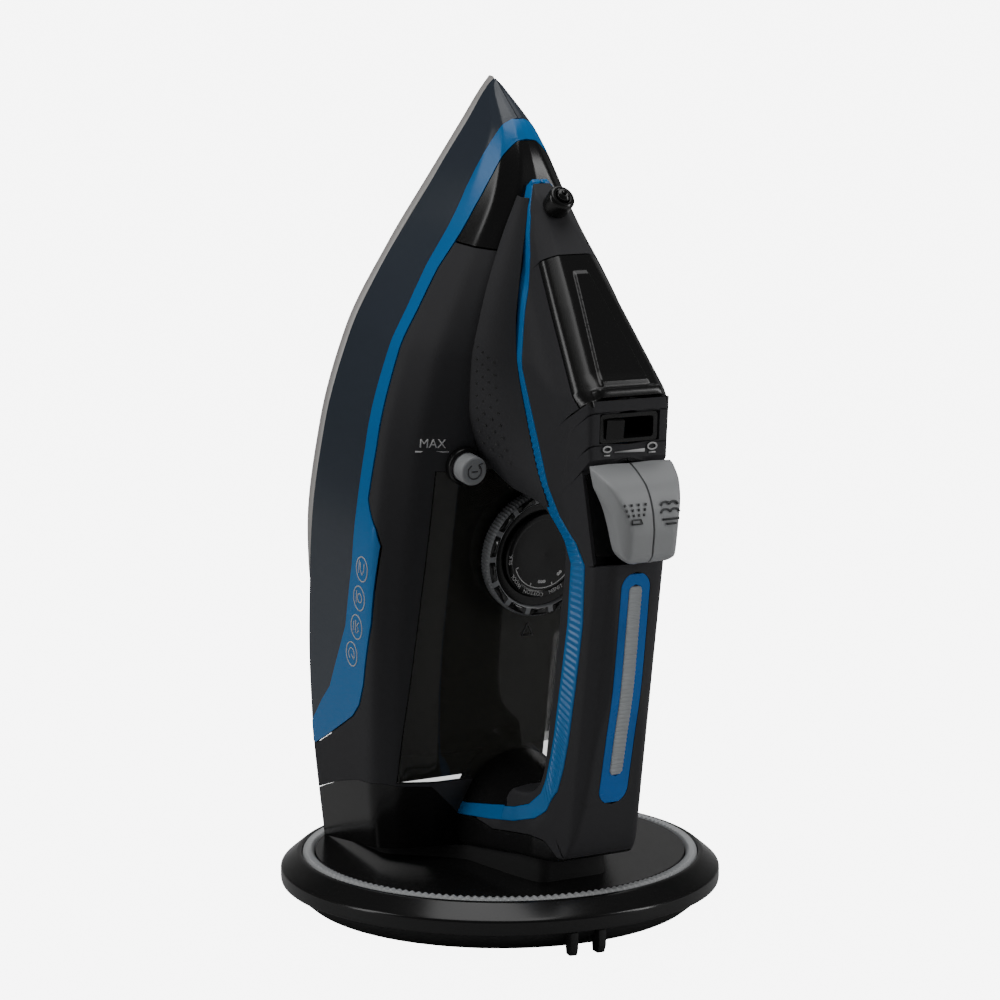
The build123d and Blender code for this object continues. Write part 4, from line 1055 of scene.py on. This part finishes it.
class IRON_OT_door(bpy.types.Operator):
    """Fill door with its raised pad and lip, cut from the loop's master surface, and the spray nozzle"""

    bl_idname = "iron.door"
    bl_label = "Fill door and nozzle"

    def execute(self, context):
        rows = loop_rows(900)
        edges = loop_edges(rows)
        on = (edges["up"] > 19.4) & (edges["up"] < 79.4)
        t = edges["door"]
        skin_rows = between(rows[on], t[on] + 0.003, 1.0, 60)
        up = edges["up"][on][:, None]
        y = skin_rows[..., 2]
        ends = np.clip(np.minimum(up - 26.0, 74.5 - up) / 2.0, 0, 1)
        pad_half = np.interp(up, (26, 75), (3.2, 10.6))
        pad = np.clip((pad_half - y) / 0.8, 0, 1) * ends
        lip = np.clip((up - 74.8) / 1.4, 0, 1)
        raise_by = 0.25 + 0.7 * pad + 1.5 * lip * np.clip((14.5 - y) / 2.0, 0, 1)
        skin_rows[..., 0] += raise_by * OUT_L
        skin_rows[..., 1] += raise_by * OUT_H
        piece = mesh_piece("fill_door_skin", both_sides(skin_rows))
        thicken(piece, 2.2, 0.3)
        dress(piece, "fill_door", ["fill_door"], "gloss_black")

        angle = np.linspace(0, 2 * math.pi, 48, endpoint=False)[:, None]
        parts = []
        for profile in (rounded([(2.75, 0.4), (5.0, 0.4), (5.0, 6.2), (4.2, 7.3), (2.75, 7.3)], 0.5),):
            r, n = profile[None, :, 0], profile[None, :, 1]
            local = slope_point(-1 + r * np.cos(angle), n + 0 * angle, r * np.sin(angle))
            points = iron_point(local[..., 0], local[..., 1], local[..., 2])
            parts.append((points, grid_faces(48, len(profile), True, True)))
        body = mesh_piece("nozzle_body_skin", parts, recalc=True)
        dress(body, "iron", ["spray_nozzle_body"], "gloss_black")
        profile = rounded([(0.5, 5.0), (0.5, 8.6), (1.4, 9.0), (2.5, 8.2), (2.5, 2.4), (0.5, 2.4)], 0.3)
        r, n = profile[None, :, 0], profile[None, :, 1]
        local = slope_point(-1 + r * np.cos(angle), n + 0 * angle, r * np.sin(angle))
        points = iron_point(local[..., 0], local[..., 1], local[..., 2])
        tip = mesh_piece("nozzle_tip_skin", [(points, grid_faces(48, len(profile), True, True))], recalc=True)
        dress(tip, "iron", ["spray_nozzle_tip"], "gloss_black")
        return {"FINISHED"}


class IRON_OT_thumb_buttons(bpy.types.Operator):
    """The two thumb buttons and their gloss housing: each button is a row of softened sections along L"""

    bl_idname = "iron.thumb_buttons"
    bl_label = "Thumb buttons"

    def execute(self, context):
        along = np.linspace(144.9, 176.9, 60)
        top = smooth_curve(along, (144.9, 146.2, 149.5, 156, 163, 168, 172, 175.4, 176.9),
                           (129.4, 133.0, 134.9, 134.8, 133.2, 130.6, 127.0, 120.5, 116.4))
        low = np.interp(along, (144.9, 147.6, 176.9), (128.6, 127.2, 115.6))
        low = np.minimum(low, top - 0.4)
        a = np.linspace(0, 1, 40)[None, :]
        height = low[:, None] + (top - low)[:, None] * a
        half = np.interp(height, (105, 117, 124, 130, 133, 137), (17.6, 17.2, 15.4, 13.0, 11.0, 7.0))
        waist = smooth_curve(along, (144.9, 147, 150, 158, 163, 168, 172, 177),
                             (6.0, 9.4, 11.6, 12.8, 13.8, 15.6, 17.4, 17.6))
        half = np.minimum(half, waist[:, None])
        start = np.concatenate([low[:, None], np.full((60, 1), 0.4)], axis=1)[:, None]
        end = np.concatenate([top[:, None], np.full((60, 1), 0.4)], axis=1)[:, None]
        section = np.concatenate([start, np.stack([height, half], axis=-1), end], axis=1)
        section = soften(resample(section, 120), 26)
        rows = np.concatenate([np.broadcast_to(along[:, None, None], (60, 120, 1)), section], axis=2)
        # The ends are closed by shrinking the first and last sections onto their own middles.
        rounded_rows = []
        for index, shares in ((0, (0.0, 0.5, 0.85)), (59, (0.85, 0.5, 0.0))):
            middle = rows[index].mean(axis=0)
            push = -0.5 if index == 0 else 0.35
            rounded_rows.append(np.array([middle + (rows[index] - middle) * s + (push * (1 - s), 0, 0)
                                          for s in shares]))
        rows = np.concatenate([rounded_rows[0], rows, rounded_rows[1]])
        quads = grid_faces(rows.shape[0], 120, close_columns=True)
        for side, name in ((-1, "spray"), (1, "steam")):
            points = iron_point(rows[..., 0], rows[..., 1], side * rows[..., 2])
            piece = mesh_piece(f"{name}_button_skin", [(points, quads)], recalc=True)
            dress(piece, f"{name}_button", [f"{name}_button"], "light_grey")

        along = np.linspace(144.6, 178.3, 50)
        floor = 120.0 - (along - 143.2) * 0.285
        edge = smooth_curve(along, (144, 150, 160, 179), (12.2, 13.8, 14.8, 15.1))
        y = np.linspace(0, 1, 24)[None, :] * edge[:, None]
        height = floor[:, None] - 0.9 * (y / 15.0) ** 4
        rows = np.stack([np.broadcast_to(along[:, None], y.shape), height, y], axis=-1)
        parts = []
        for side in (1, -1):
            points = iron_point(rows[..., 0], rows[..., 1], side * rows[..., 2])
            parts.append((points, facing(points, grid_faces(50, 24), iron_axis(0, 1, 0))))
        piece = mesh_piece("button_housing_skin", parts)
        thicken(piece, 2.0, 0.3)
        dress(piece, "iron", ["button_housing"], "gloss_black")
        return {"FINISHED"}


class IRON_OT_slider(bpy.types.Operator):
    """Steam slider with its ribbed knob, and the frame of its window"""

    bl_idname = "iron.slider"
    bl_label = "Steam slider"

    def execute(self, context):
        # The frame is one closed strip: a ring of corners (L, Y) carried from its floor to its top.
        outline = rounded([(184.0, -11.8), (194.1, -11.8), (194.1, 11.8), (184.0, 11.8)], 1.6)
        inside = rounded([(185.3, -10.1), (192.7, -10.1), (192.7, 10.1), (185.3, 10.1)], 1.2)
        parts = []
        def top_of(along):
            """Height of the frame's rim at a place along the iron."""
            return np.interp(along, (184, 194), (113.7, 112.6))

        rings = [(outline, 105.0, 0), (outline, -0.5, 1), (outline * 0.995 + inside * 0.005, 0.0, 1),
                 (inside, 0.0, 1), (inside, -0.6, 1), (inside, 106.0, 0)]
        stack = np.array([np.stack([o[:, 0], top_of(o[:, 0]) + h if on else np.full(len(o), h), o[:, 1]],
                                   axis=1)
                          for o, h, on in rings])
        points = iron_point(stack[..., 0], stack[..., 1], stack[..., 2])
        parts.append((points, grid_faces(len(rings), len(outline), close_rows=True, close_columns=True)))
        piece = mesh_piece("slider_bezel_skin", parts, recalc=True)
        dress(piece, "iron", ["slider_bezel"], "gloss_black")

        # The knob: sections along the swing, an arched top with three grip ribs, on an arm from the axis.
        turn = math.radians(-14.0)
        v = np.linspace(-3.3, 3.3, 45)
        ribs = 0.35 * np.cos(v / 3.3 * math.pi * 3)
        top = 115.2 - 0.10 * v ** 2 + ribs
        l_ring = np.array([185.7, 185.7, 186.2, 191.8, 192.3, 192.3])
        foot = np.full_like(v, 111.6)
        h_ring = np.stack([foot, top - 0.5, top, top, top - 0.5, foot], axis=1)
        v_grid = np.broadcast_to(v[:, None], h_ring.shape)
        height, across = h_ring - 88.0, v_grid
        spun_y = across * math.cos(turn) + height * math.sin(turn)
        spun_h = 88.0 + height * math.cos(turn) - across * math.sin(turn)
        points = iron_point(np.broadcast_to(l_ring, h_ring.shape), spun_h, spun_y)
        centre_first = points[0].mean(axis=0)
        centre_last = points[-1].mean(axis=0)
        points = np.concatenate([np.broadcast_to(centre_first, (1, 6, 3)), points,
                                 np.broadcast_to(centre_last, (1, 6, 3))])
        tube = mesh_piece("slider_knob", [(points, grid_faces(47, 6, close_columns=True))], recalc=True)
        dress(tube, "steam_slider", [], "gloss_black")
        return {"FINISHED"}


class IRON_OT_dial(bpy.types.Operator):
    """Temperature dial: a knurled ring whose radius ripples with the angle, a printed disc and a cap"""

    bl_idname = "iron.dial"
    bl_label = "Dial and clean button"

    def execute(self, context):
        ribs = context.scene.iron_sizes.dial_ribs
        place = (DIAL_L, 0.0)

        def grip(angle, profile):
            """Ripple of the outer wall only: minus half a millimetre in every groove."""
            outer = np.clip((profile[None, :, 0] - 23.0) / 0.4, 0, 1)
            return -0.42 * outer * (0.5 - 0.5 * np.cos(ribs * angle)) ** 0.6

        low, high = 60.85, 66.5
        profile = rounded([(19.9, low), (23.6, low), (23.9, high - 1.0), (22.8, high), (20.2, high),
                           (19.9, high - 1.0)], 0.5)
        points, quads = turned(profile, ribs * 8, dial=place, ripple=grip)
        piece = mesh_piece("dial_ring_skin", [(points, quads)], recalc=True)
        dress(piece, "dial", ["dial_ring"], "knurled_grey")

        profile = rounded([(16.45, low), (19.75, low), (19.75, high - 1.1), (16.45, high - 1.3)], 0.25)
        points, quads = turned(profile, 160, dial=place)
        slots = []
        for i in range(14):
            a = 2 * math.pi * i / 14
            c, s = math.cos(a), math.sin(a)
            corners = rounded([(20.3, -3.6), (22.7, -4.1), (23.0, 0), (22.7, 4.1), (20.3, 3.6), (20.5, 0)],
                              0.4, 4)
            u = corners[:, 0] * c - corners[:, 1] * s
            v = corners[:, 0] * s + corners[:, 1] * c
            middle = np.array([[21.5 * c, 21.5 * s]] * len(corners))
            flat = np.stack([np.stack([u, v], axis=1), middle])
            rim = iron_point(DIAL_L + flat[..., 0], np.full(flat.shape[:2], high + 0.06), flat[..., 1])
            pane = grid_faces(2, len(corners), close_columns=True)
            slots.append((rim, facing(rim, pane, iron_axis(0, 1, 0))))
        piece = mesh_piece("dial_disc_skin", [(points, quads)], recalc=True)
        dress(piece, "dial", ["dial_carrier"], "gloss_black")
        windows = mesh_piece("dial_windows", slots)
        thicken(windows, 0.2)
        dress(windows, "dial", [], "gloss_black")

        profile = rounded([(0.01, high - 2.6), (16.2, high - 2.6), (16.2, high + 0.1), (15.7, high + 0.55),
                           (13.9, high + 0.55), (13.6, high + 0.25), (0.01, high + 0.25)], 0.25)
        points, quads = turned(profile, 120, dial=place)
        dress(mesh_piece("dial_cap_skin", [(points, quads)], recalc=True), "dial", ["dial_cap"], "gloss_black")

        scale = [stroke(arc(0, 0, 12.6, 12.6, 70, 250, 60), 0.35)]
        for a in (70, 115, 160, 205, 250):
            c, s = math.cos(math.radians(a)), math.sin(math.radians(a))
            scale.append(stroke([(11.4 * c, 11.4 * s), (12.6 * c, 12.6 * s)], 0.45))
        for a, dots in ((92, 1), (137, 2), (182, 3)):
            for k in range(dots):
                b = math.radians(a + (k - (dots - 1) / 2) * 6)
                scale.append(stroke(arc(10.2 * math.cos(b), 10.2 * math.sin(b), 0.4, 0.4, 0, 360, 12), 0.5))
        mark("dial_scale", scale, (DIAL_L, 66.78, 0), (1, 0, 0), (0, 0, 1), "dial", "print_white")
        words = []
        for text, a in (("SILK", 92), ("WOOL", 128), ("COTTON", 165), ("LINEN", 203), ("MAX", 238)):
            c, s = math.cos(math.radians(a)), math.sin(math.radians(a))
            words.append((text, 2.1, 14.6 * c * 0.99, 14.6 * s * 0.99, a - 90))
        lettering("dial_words", words, (DIAL_L, 67.12, 0), (1, 0, 0), (0, 0, -1), "dial", "print_white", 0.06)

        clean = (162.0, -32.5)
        profile = rounded([(0.01, 58.0), (5.35, 58.0), (5.35, 65.9), (4.7, 66.6), (0.01, 66.75)], 0.7)
        points, quads = turned(profile, 72, dial=clean)
        piece = mesh_piece("clean_button_skin", [(points, quads)], recalc=True)
        dress(piece, "clean_button", ["clean_button"], "light_grey")
        lines = [stroke(arc(0, 0, 2.7, 2.7, 30, 330, 30), 0.45),
                 stroke([(1.0, 2.0), (2.5, 1.5), (2.9, 3.0)], 0.45),
                 stroke([(0, -1.3), (0, 1.3)], 0.45)]
        mark("clean_mark", lines, (162.0, 66.72, -32.5), (1, 0, 0), (0, 0, 1), "clean_button", "print_dark")
        rim = rounded([(5.75, 57.6), (6.9, 57.6), (6.9, 60.2), (6.3, 60.8), (5.75, 60.8)], 0.3)
        points, quads = turned(rim, 72, dial=clean)
        dress(mesh_piece("clean_rim", [(points, quads)], recalc=True), "iron", [], "gloss_black")
        return {"FINISHED"}


class IRON_OT_base(bpy.types.Operator):
    """The charging base: rounded profiles spun about the vertical axis, and a clear ring of fine ribs"""

    bl_idname = "iron.base"
    bl_label = "Charging base"

    def execute(self, context):
        sizes = context.scene.iron_sizes
        r = sizes.base_radius / MM
        rim = rounded([(79.6, 9.0), (r - 0.3, 9.0), (r, 10.0), (r, 14.2), (r - 0.8, 15.0), (76.0, 19.7),
                       (74.6, 19.9), (74.5, 17.2), (69.6, 17.2), (69.6, 15.4), (74, 15.2),
                       (79.6, 12.4)], 0.7, 5)
        points, quads = turned(rim, 240)
        dress(mesh_piece("base_rim_skin", [(points, quads)], recalc=True), "base", ["base_rim"], "gloss_black")

        tray = rounded([(0.02, 1.2), (71, 1.2), (72.6, 2.0), (77.6, 6.2), (79.4, 8.9), (76.9, 8.9),
                        (70.6, 3.6), (0.02, 3.6)], 0.5, 4)
        points, quads = turned(tray, 200)
        parts = [(points, quads)]
        clip = rounded([(76.0, 8.9), (82.2, 8.9), (82.3, 3.2), (80.9, 0.1), (77.0, 0.1), (76.0, 5.4)], 0.6, 4)
        for turn in (-12.2, -4.6):
            a = math.radians(turn)
            faces = []
            for w in (-1.4, -1.15, 1.15, 1.4):
                ease = 0.25 if abs(w) > 1.3 else 0.0
                ring = (clip - clip.mean(axis=0)) * (1 - ease * 0.12) + clip.mean(axis=0)
                x = ring[:, 0] * math.cos(a) - w * math.sin(a)
                y = ring[:, 0] * math.sin(a) + w * math.cos(a)
                faces.append(np.stack([x, y, ring[:, 1]], axis=1))
            ends = [np.broadcast_to(f.mean(axis=0), f.shape) for f in (faces[0], faces[-1])]
            stack = np.array([ends[0]] + faces + [ends[1]]) * MM
            parts.append((stack, grid_faces(6, len(clip), close_columns=True)))
        dress(mesh_piece("base_tray_skin", parts, recalc=True), "base", ["base_tray"], "matte_black")

        ribs = sizes.ring_ribs

        ring = rounded([(69.7, 17.3), (74.3, 17.3), (74.3, 19.0), (73.3, 20.3), (70.7, 20.3), (69.7, 19.0)],
                       0.6, 5)
        angle = np.linspace(0, 2 * math.pi, ribs * 8, endpoint=False)[:, None]
        wave = 0.32 * np.cos(ribs * angle)
        crown = np.clip((ring[None, :, 1] - 18.6) / 0.8, 0, 1)
        radius = ring[None, :, 0] + 0 * angle
        height = ring[None, :, 1] + wave * crown
        points = np.stack([radius * np.cos(angle), radius * np.sin(angle), height], axis=-1) * MM
        quads = grid_faces(ribs * 8, len(ring), close_rows=True, close_columns=True)
        piece = mesh_piece("base_ring_skin", [(points, quads)], recalc=True)
        dress(piece, "base", ["base_trim_ring"], "clear_ring")

        # The saddle: a low ramp whose top follows the heel's underside, narrowed in rings to round its edge.
        outline = np.array([(10, 43.5), (40, 42.5), (53, 28), (62, 20), (90, 17), (104, 14)], float)
        outline = rounded(np.concatenate([outline, outline[::-1] * (1, -1)]), 4.0, 6)
        centre = np.array([(45.0, 0.0)])
        rings = []
        for shrink, share in ((1.0, 0.0), (1.0, 0.8), (0.985, 1.0), (0.01, 1.0)):
            ring = centre + (outline - centre) * shrink
            crest = 19.1 + 0.1005 * ring[:, 0]
            z = 19.8 + np.maximum(crest - 19.8, 0.1) * share
            rings.append(np.stack([HEEL_X + 1.028 * ring[:, 0], ring[:, 1], z], axis=1))
        points = np.array(rings) * MM
        quads = grid_faces(len(points), len(outline), close_columns=True)
        ramp = mesh_piece("saddle_ramp", [(points, quads)], recalc=True)
        dress(ramp, "base", ["dock_cradle"], "matte_black")
        return {"FINISHED"}


class IRON_OT_marks(bpy.types.Operator):
    """Generic print: level mark, band badges, jug, spray and steam signs, and the dial's pointer"""

    bl_idname = "iron.marks"
    bl_label = "Printed marks"

    def execute(self, context):
        # Four badges on the blue band: an oval outline, a droplet or steam sign inside and a short bar.
        for index, along in enumerate((121.0, 109.5, 98.0, 86.5)):
            rows = body_rows(np.array([along - 3, along, along + 3]))
            low, high = band_edges(rows)
            spot = at(rows, np.full((3, 1), (low[1] * 0.52 + high[1] * 0.48)))
            up = at(rows, np.full((3, 1), (low[1] * 0.52 + high[1] * 0.48) + 0.02))[1, 0] - spot[1, 0]
            centre = spot[1, 0]
            lengthways = (spot[2, 0] - spot[0, 0]) / np.linalg.norm(spot[2, 0] - spot[0, 0])
            up = up / np.linalg.norm(up)
            oval = [stroke(arc(0, 0, 4.6, 3.9, 0, 360, 48), 0.42, closed=True)]
            if index == 0:
                oval += [stroke([(-2.4, -1.2), (0.4, -1.2), (2.2, 0.2), (0.2, 1.4), (-2.4, 1.4)], 0.35),
                         stroke([(-2.8, -2.1), (2.0, -2.1)], 0.35)]
            elif index == 1:
                oval += [stroke(arc(-0.2, 0.4, 1.7, 1.5, 0, 360, 24), 0.35, True),
                         stroke([(-2.6, -1.9), (2.4, -1.9)], 0.35)]
            elif index == 2:
                oval += [stroke([(-2.2, 1.6), (-0.6, 0.2), (0.9, 1.6), (2.3, 0.2)], 0.35),
                         stroke([(-2.4, -0.6), (2.4, -0.6)], 0.35), stroke([(-1.8, -2.0), (1.8, -2.0)], 0.35)]
            else:
                oval += [stroke(arc(0, -0.1, 2.3, 2.0, 60, 330, 24), 0.35),
                         stroke([(0.2, -0.2), (1.8, 1.7)], 0.35)]
            # On the near flank the band faces -Y, so the across part of both axes is turned over.
            u_axis = (lengthways[0], lengthways[1], -lengthways[2])
            v_axis = (up[0], up[1], -up[2])
            out = np.cross(iron_axis(*u_axis), iron_axis(*v_axis))
            side = (centre[0], centre[1], -centre[2] - 0.12)
            if out[1] > 0:
                u_axis = tuple(-np.array(u_axis))
            mark(f"band_badge_{index + 1}", oval, side, u_axis, v_axis, "iron", "print_white", 0.16)

        rows = body_rows(np.array([168.0, 170.0, 172.0]))
        spot = at(rows, crossing(-rows[..., 2], -45.0)[:, None])[1, 0]
        up = at(rows, crossing(-rows[..., 2], -41.0)[:, None])[1, 0] - spot
        up = up / np.linalg.norm(up)
        axis_v = (up[0], up[1], -up[2])
        centre = (spot[0] + up[0], spot[1] + up[1], -spot[2] + axis_v[2])
        lettering("level_word", [("MAX", 4.6, 0, 0, 0)], centre, axis_v, (1, 0, 0), "iron", "print_white",
                  0.22)
        mark("level_line", [stroke([(-6.2, -2.9), (6.2, -2.9)], 0.5)], centre, axis_v, (1, 0, 0), "iron",
             "print_white", 0.2)

        jug = [stroke([(-2.6, 2.6), (-2.6, -2.4), (-1.8, -3.0), (1.8, -3.0), (2.4, -2.4), (2.4, 2.6),
                       (-3.2, 2.6)], 0.4),
               stroke([(2.4, 1.8), (3.8, 1.2), (3.8, -0.8), (2.4, -1.4)], 0.4),
               stroke([(-2.6, 0.2), (2.4, 0.2)], 0.4)]
        centre = slope_point(np.array(48.0), np.array(0.92), np.array(0.0))
        mark("jug_sign", jug, tuple(centre), (0, 0, 1), (UP_L, UP_H, 0), "fill_door", "print_dark", 0.14)

        tops = {"spray": -1, "steam": 1}
        for name, side in tops.items():
            lines = []
            if name == "spray":
                for x in (-3.0, -1.0, 1.0, 3.0):
                    for y in (0.2, 2.0, 3.8):
                        lean = x * (1 + 0.10 * y)
                        lines.append(stroke([(lean, y), (lean * 1.06, y + 0.9)], 0.7))
                lines.append(stroke([(-2.2, -2.4), (2.2, -2.4), (1.7, -0.9), (-1.7, -0.9), (-2.2, -2.4)], 0.5))
            else:
                for y, wide in ((3.2, 3.4), (0.6, 3.8)):
                    lines.append(stroke(np.concatenate([arc(-wide / 2, y, wide / 2, 1.3, 180, 20, 12),
                                                        arc(wide / 2, y, wide / 2, 1.3, 160, 0, 12)]), 0.7))
                lines.append(stroke([(-3.4, -1.6), (3.4, -1.6)], 0.7))
                lines.append(stroke([(-2.0, -3.2), (2.0, -3.2)], 0.7))
            mark(f"{name}_sign", lines, (163.0, 133.3, side * 7.0), (0, 0, 1), (0.93, -0.37, 0),
                 f"{name}_button", "print_dark", 0.25)

        steam = []
        for x, s in ((-9.3, 1.0), (9.3, 1.15)):
            steam += [stroke(arc(x, 1.2, 1.6 * s, 1.0 * s, 0, 360, 20), 0.55, True),
                      stroke([(x - 1.2 * s, -1.0), (x + 1.2 * s, -1.0)], 0.5)]
        wedge = np.array([[(-6.2, -0.15), (6.2, -0.6)], [(-6.2, 0.15), (6.2, 0.6)]]).transpose(1, 0, 2)
        steam.append((wedge, grid_faces(2, 2)))
        mark("steam_scale", steam, (181.0, 114.95, 0), (0, 0, 1), (0.99, -0.1, 0), "iron", "print_white", 0.14)

        pointer = [stroke([(-2.4, -2.2), (2.4, -2.2), (0, 2.4), (-2.4, -2.2)], 0.55)]
        mark("dial_pointer", pointer, (97.0, 59.5, 0), (0, 0, 1), (1, 0, 0), "iron", "print_dark", 0.2)

        # Small holes in the near and far cheeks.
        dots = []
        for row in range(9):
            for column in range(4):
                along = 205.0 - row * 4.2 - column * 1.4
                a = 0.16 + 0.13 * column
                dots.append((along, a))
        place = np.array(dots)
        stations = np.array([(160, 66.5, 22.4, 93.5, 19.6), (168, 59.2, 27.6, 87.5, 19.8),
                             (184, 57.4, 31.6, 78, 19.9), (200, 55.4, 31.2, 69, 19.6),
                             (214, 52.4, 27.8, 63.5, 18.4)])
        low_h, low_y, high_h, high_y = smooth_curve(place[:, 0], stations[:, 0], stations[:, 1:]).T
        a = place[:, 1]
        bow = np.sin(a * math.pi) * 1.2
        height = low_h * (1 - a) + high_h * a + bow * 0.5
        across = low_y * (1 - a) + high_y * a + bow
        parts = []
        angle = np.linspace(0, 2 * math.pi, 10, endpoint=False)
        slope_h = (high_h - low_h) / np.hypot(high_h - low_h, high_y - low_y)
        slope_y = (high_y - low_y) / np.hypot(high_h - low_h, high_y - low_y)
        for side in (1, -1):
            for k in range(len(a)):
                rim_l = place[k, 0] + 0.42 * np.cos(angle)
                rim_h = height[k] + 0.42 * np.sin(angle) * slope_h[k] - 0.05 * slope_y[k]
                rim_y = side * (across[k] + 0.10 + 0.42 * np.sin(angle) * slope_y[k])
                ring = iron_point(rim_l, rim_h, rim_y)
                disc = np.stack([ring, np.broadcast_to(ring.mean(axis=0), ring.shape)])
                quads = grid_faces(2, 10, close_columns=True)
                parts.append((disc, facing(disc, quads, iron_axis(0, 0.3, side))))
        dress(mesh_piece("cheek_dots", parts), "iron", [], "gloss_black")
        return {"FINISHED"}


class IRON_OT_studio(bpy.types.Operator):
    """Pale floor that sweeps up behind, large soft lights and the camera"""

    bl_idname = "iron.studio"
    bl_label = "Studio"

    def execute(self, context):
        floor = bpy.data.materials.new("studio_floor")
        floor.use_nodes = True
        shader = floor.node_tree.nodes["Principled BSDF"]
        shader.inputs["Base Color"].default_value = tuple(context.scene.iron_colours.floor) + (1.0,)
        shader.inputs["Roughness"].default_value = 0.75
        shader.inputs["Emission Color"].default_value = (1.0, 1.0, 1.0, 1.0)
        # The floor glows for the eye only, so it stays pale without lighting the dark shells.
        w = Wiring(floor.node_tree)
        seen = w.node("ShaderNodeLightPath").outputs["Is Camera Ray"]
        w.join(w.span(seen, 0.0, 1.0, 0.0, 7.0), shader.inputs["Emission Strength"])
        # A sheet whose profile is flat, a quarter circle and an upright, carried sideways.
        turn = np.radians(np.linspace(0, 90, 24))
        radius = 0.6
        depth = np.concatenate([[2.6], -1.6 - radius * np.sin(turn), [-1.6 - radius]])
        rise = np.concatenate([[0.0], radius - radius * np.cos(turn), [3.2]])
        side = np.linspace(-3.0, 3.0, 12)
        look = math.radians(31.0)
        x = depth[:, None] * math.cos(look) - side[None, :] * -math.sin(look)
        y = -depth[:, None] * math.sin(look) + side[None, :] * math.cos(look)
        z = np.broadcast_to(rise[:, None], x.shape)
        points = np.stack([x, y, z], axis=-1)
        quads = facing(points, grid_faces(len(depth), 12), (0.3, 0, 1))
        sheet = mesh_piece("studio_sweep", [(points, quads)], sharp=80)
        sheet.data.materials.append(floor)

        world = bpy.data.worlds.new("studio_air")
        world.use_nodes = True
        world.node_tree.nodes["Background"].inputs["Color"].default_value = (1.0, 1.0, 1.0, 1.0)
        world.node_tree.nodes["Background"].inputs["Strength"].default_value = 0.06
        context.scene.world = world

        lamps = [("left_softbox", (-0.35, -1.35, 0.65), (0.0, 0.0, 0.16), 0.35, 1.3, 5.0),
                 ("right_strip", (0.9, 0.95, 0.55), (0.0, 0.0, 0.18), 0.2, 1.2, 5.0),
                 ("top_softbox", (0.1, -0.1, 2.0), (0.0, 0.0, 0.1), 1.4, 1.4, 13.0),
                 ("back_light", (-0.9, 0.6, 1.9), (-0.9, 0.5, 0.0), 1.6, 1.6, 8.0)]
        for name, where, towards, wide, tall, power in lamps:
            light = bpy.data.lights.new(name, "AREA")
            light.shape = "RECTANGLE"
            light.size = wide
            light.size_y = tall
            light.energy = power
            lamp = bpy.data.objects.new(name, light)
            lamp.location = where
            lamp.rotation_euler = (Vector(towards) - Vector(where)).to_track_quat("-Z", "Y").to_euler()
            context.scene.collection.objects.link(lamp)

        camera = bpy.data.cameras.new("camera")
        camera.lens = 118.8
        camera.sensor_width = 36.0
        seat = bpy.data.objects.new("camera", camera)
        seat.location = (1.0359, -0.6224, 0.3393)
        pitch = math.radians(8.81)
        aim = Vector((-math.cos(look) * math.cos(pitch), math.sin(look) * math.cos(pitch), -math.sin(pitch)))
        seat.rotation_euler = aim.to_track_quat("-Z", "Y").to_euler()
        context.scene.collection.objects.link(seat)
        context.scene.camera = seat
        return {"FINISHED"}


STEPS = (IRON_OT_finishes, IRON_OT_sole, IRON_OT_body, IRON_OT_heel, IRON_OT_handle, IRON_OT_cheeks,
         IRON_OT_door, IRON_OT_thumb_buttons, IRON_OT_slider, IRON_OT_dial, IRON_OT_base,
         IRON_OT_marks, IRON_OT_studio)


class IRON_PT_panel(bpy.types.Panel):
    """Lists the steps, sizes and colours"""

    bl_label = "Steam iron"
    bl_idname = "IRON_PT_panel"
    bl_space_type = "VIEW_3D"
    bl_region_type = "UI"
    bl_category = "Iron"

    def draw(self, context):
        layout = self.layout
        for step in STEPS:
            layout.operator(step.bl_idname)
        for group_name in ("iron_sizes", "iron_colours"):
            values = getattr(context.scene, group_name)
            for key in values.__annotations__:
                layout.prop(values, key)


CLASSES = (IronSizes, IronColours) + STEPS + (IRON_PT_panel,)


def register():
    for item in CLASSES:
        bpy.utils.register_class(item)
    bpy.types.Scene.iron_sizes = PointerProperty(type=IronSizes)
    bpy.types.Scene.iron_colours = PointerProperty(type=IronColours)


def unregister():
    del bpy.types.Scene.iron_colours
    del bpy.types.Scene.iron_sizes
    for item in reversed(CLASSES):
        bpy.utils.unregister_class(item)


def main():
    """Registers the add-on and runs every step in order."""
    register()
    for step in STEPS:
        family, action = step.bl_idname.split(".")
        getattr(getattr(bpy.ops, family), action)()


if __name__ == "__main__":
    main()
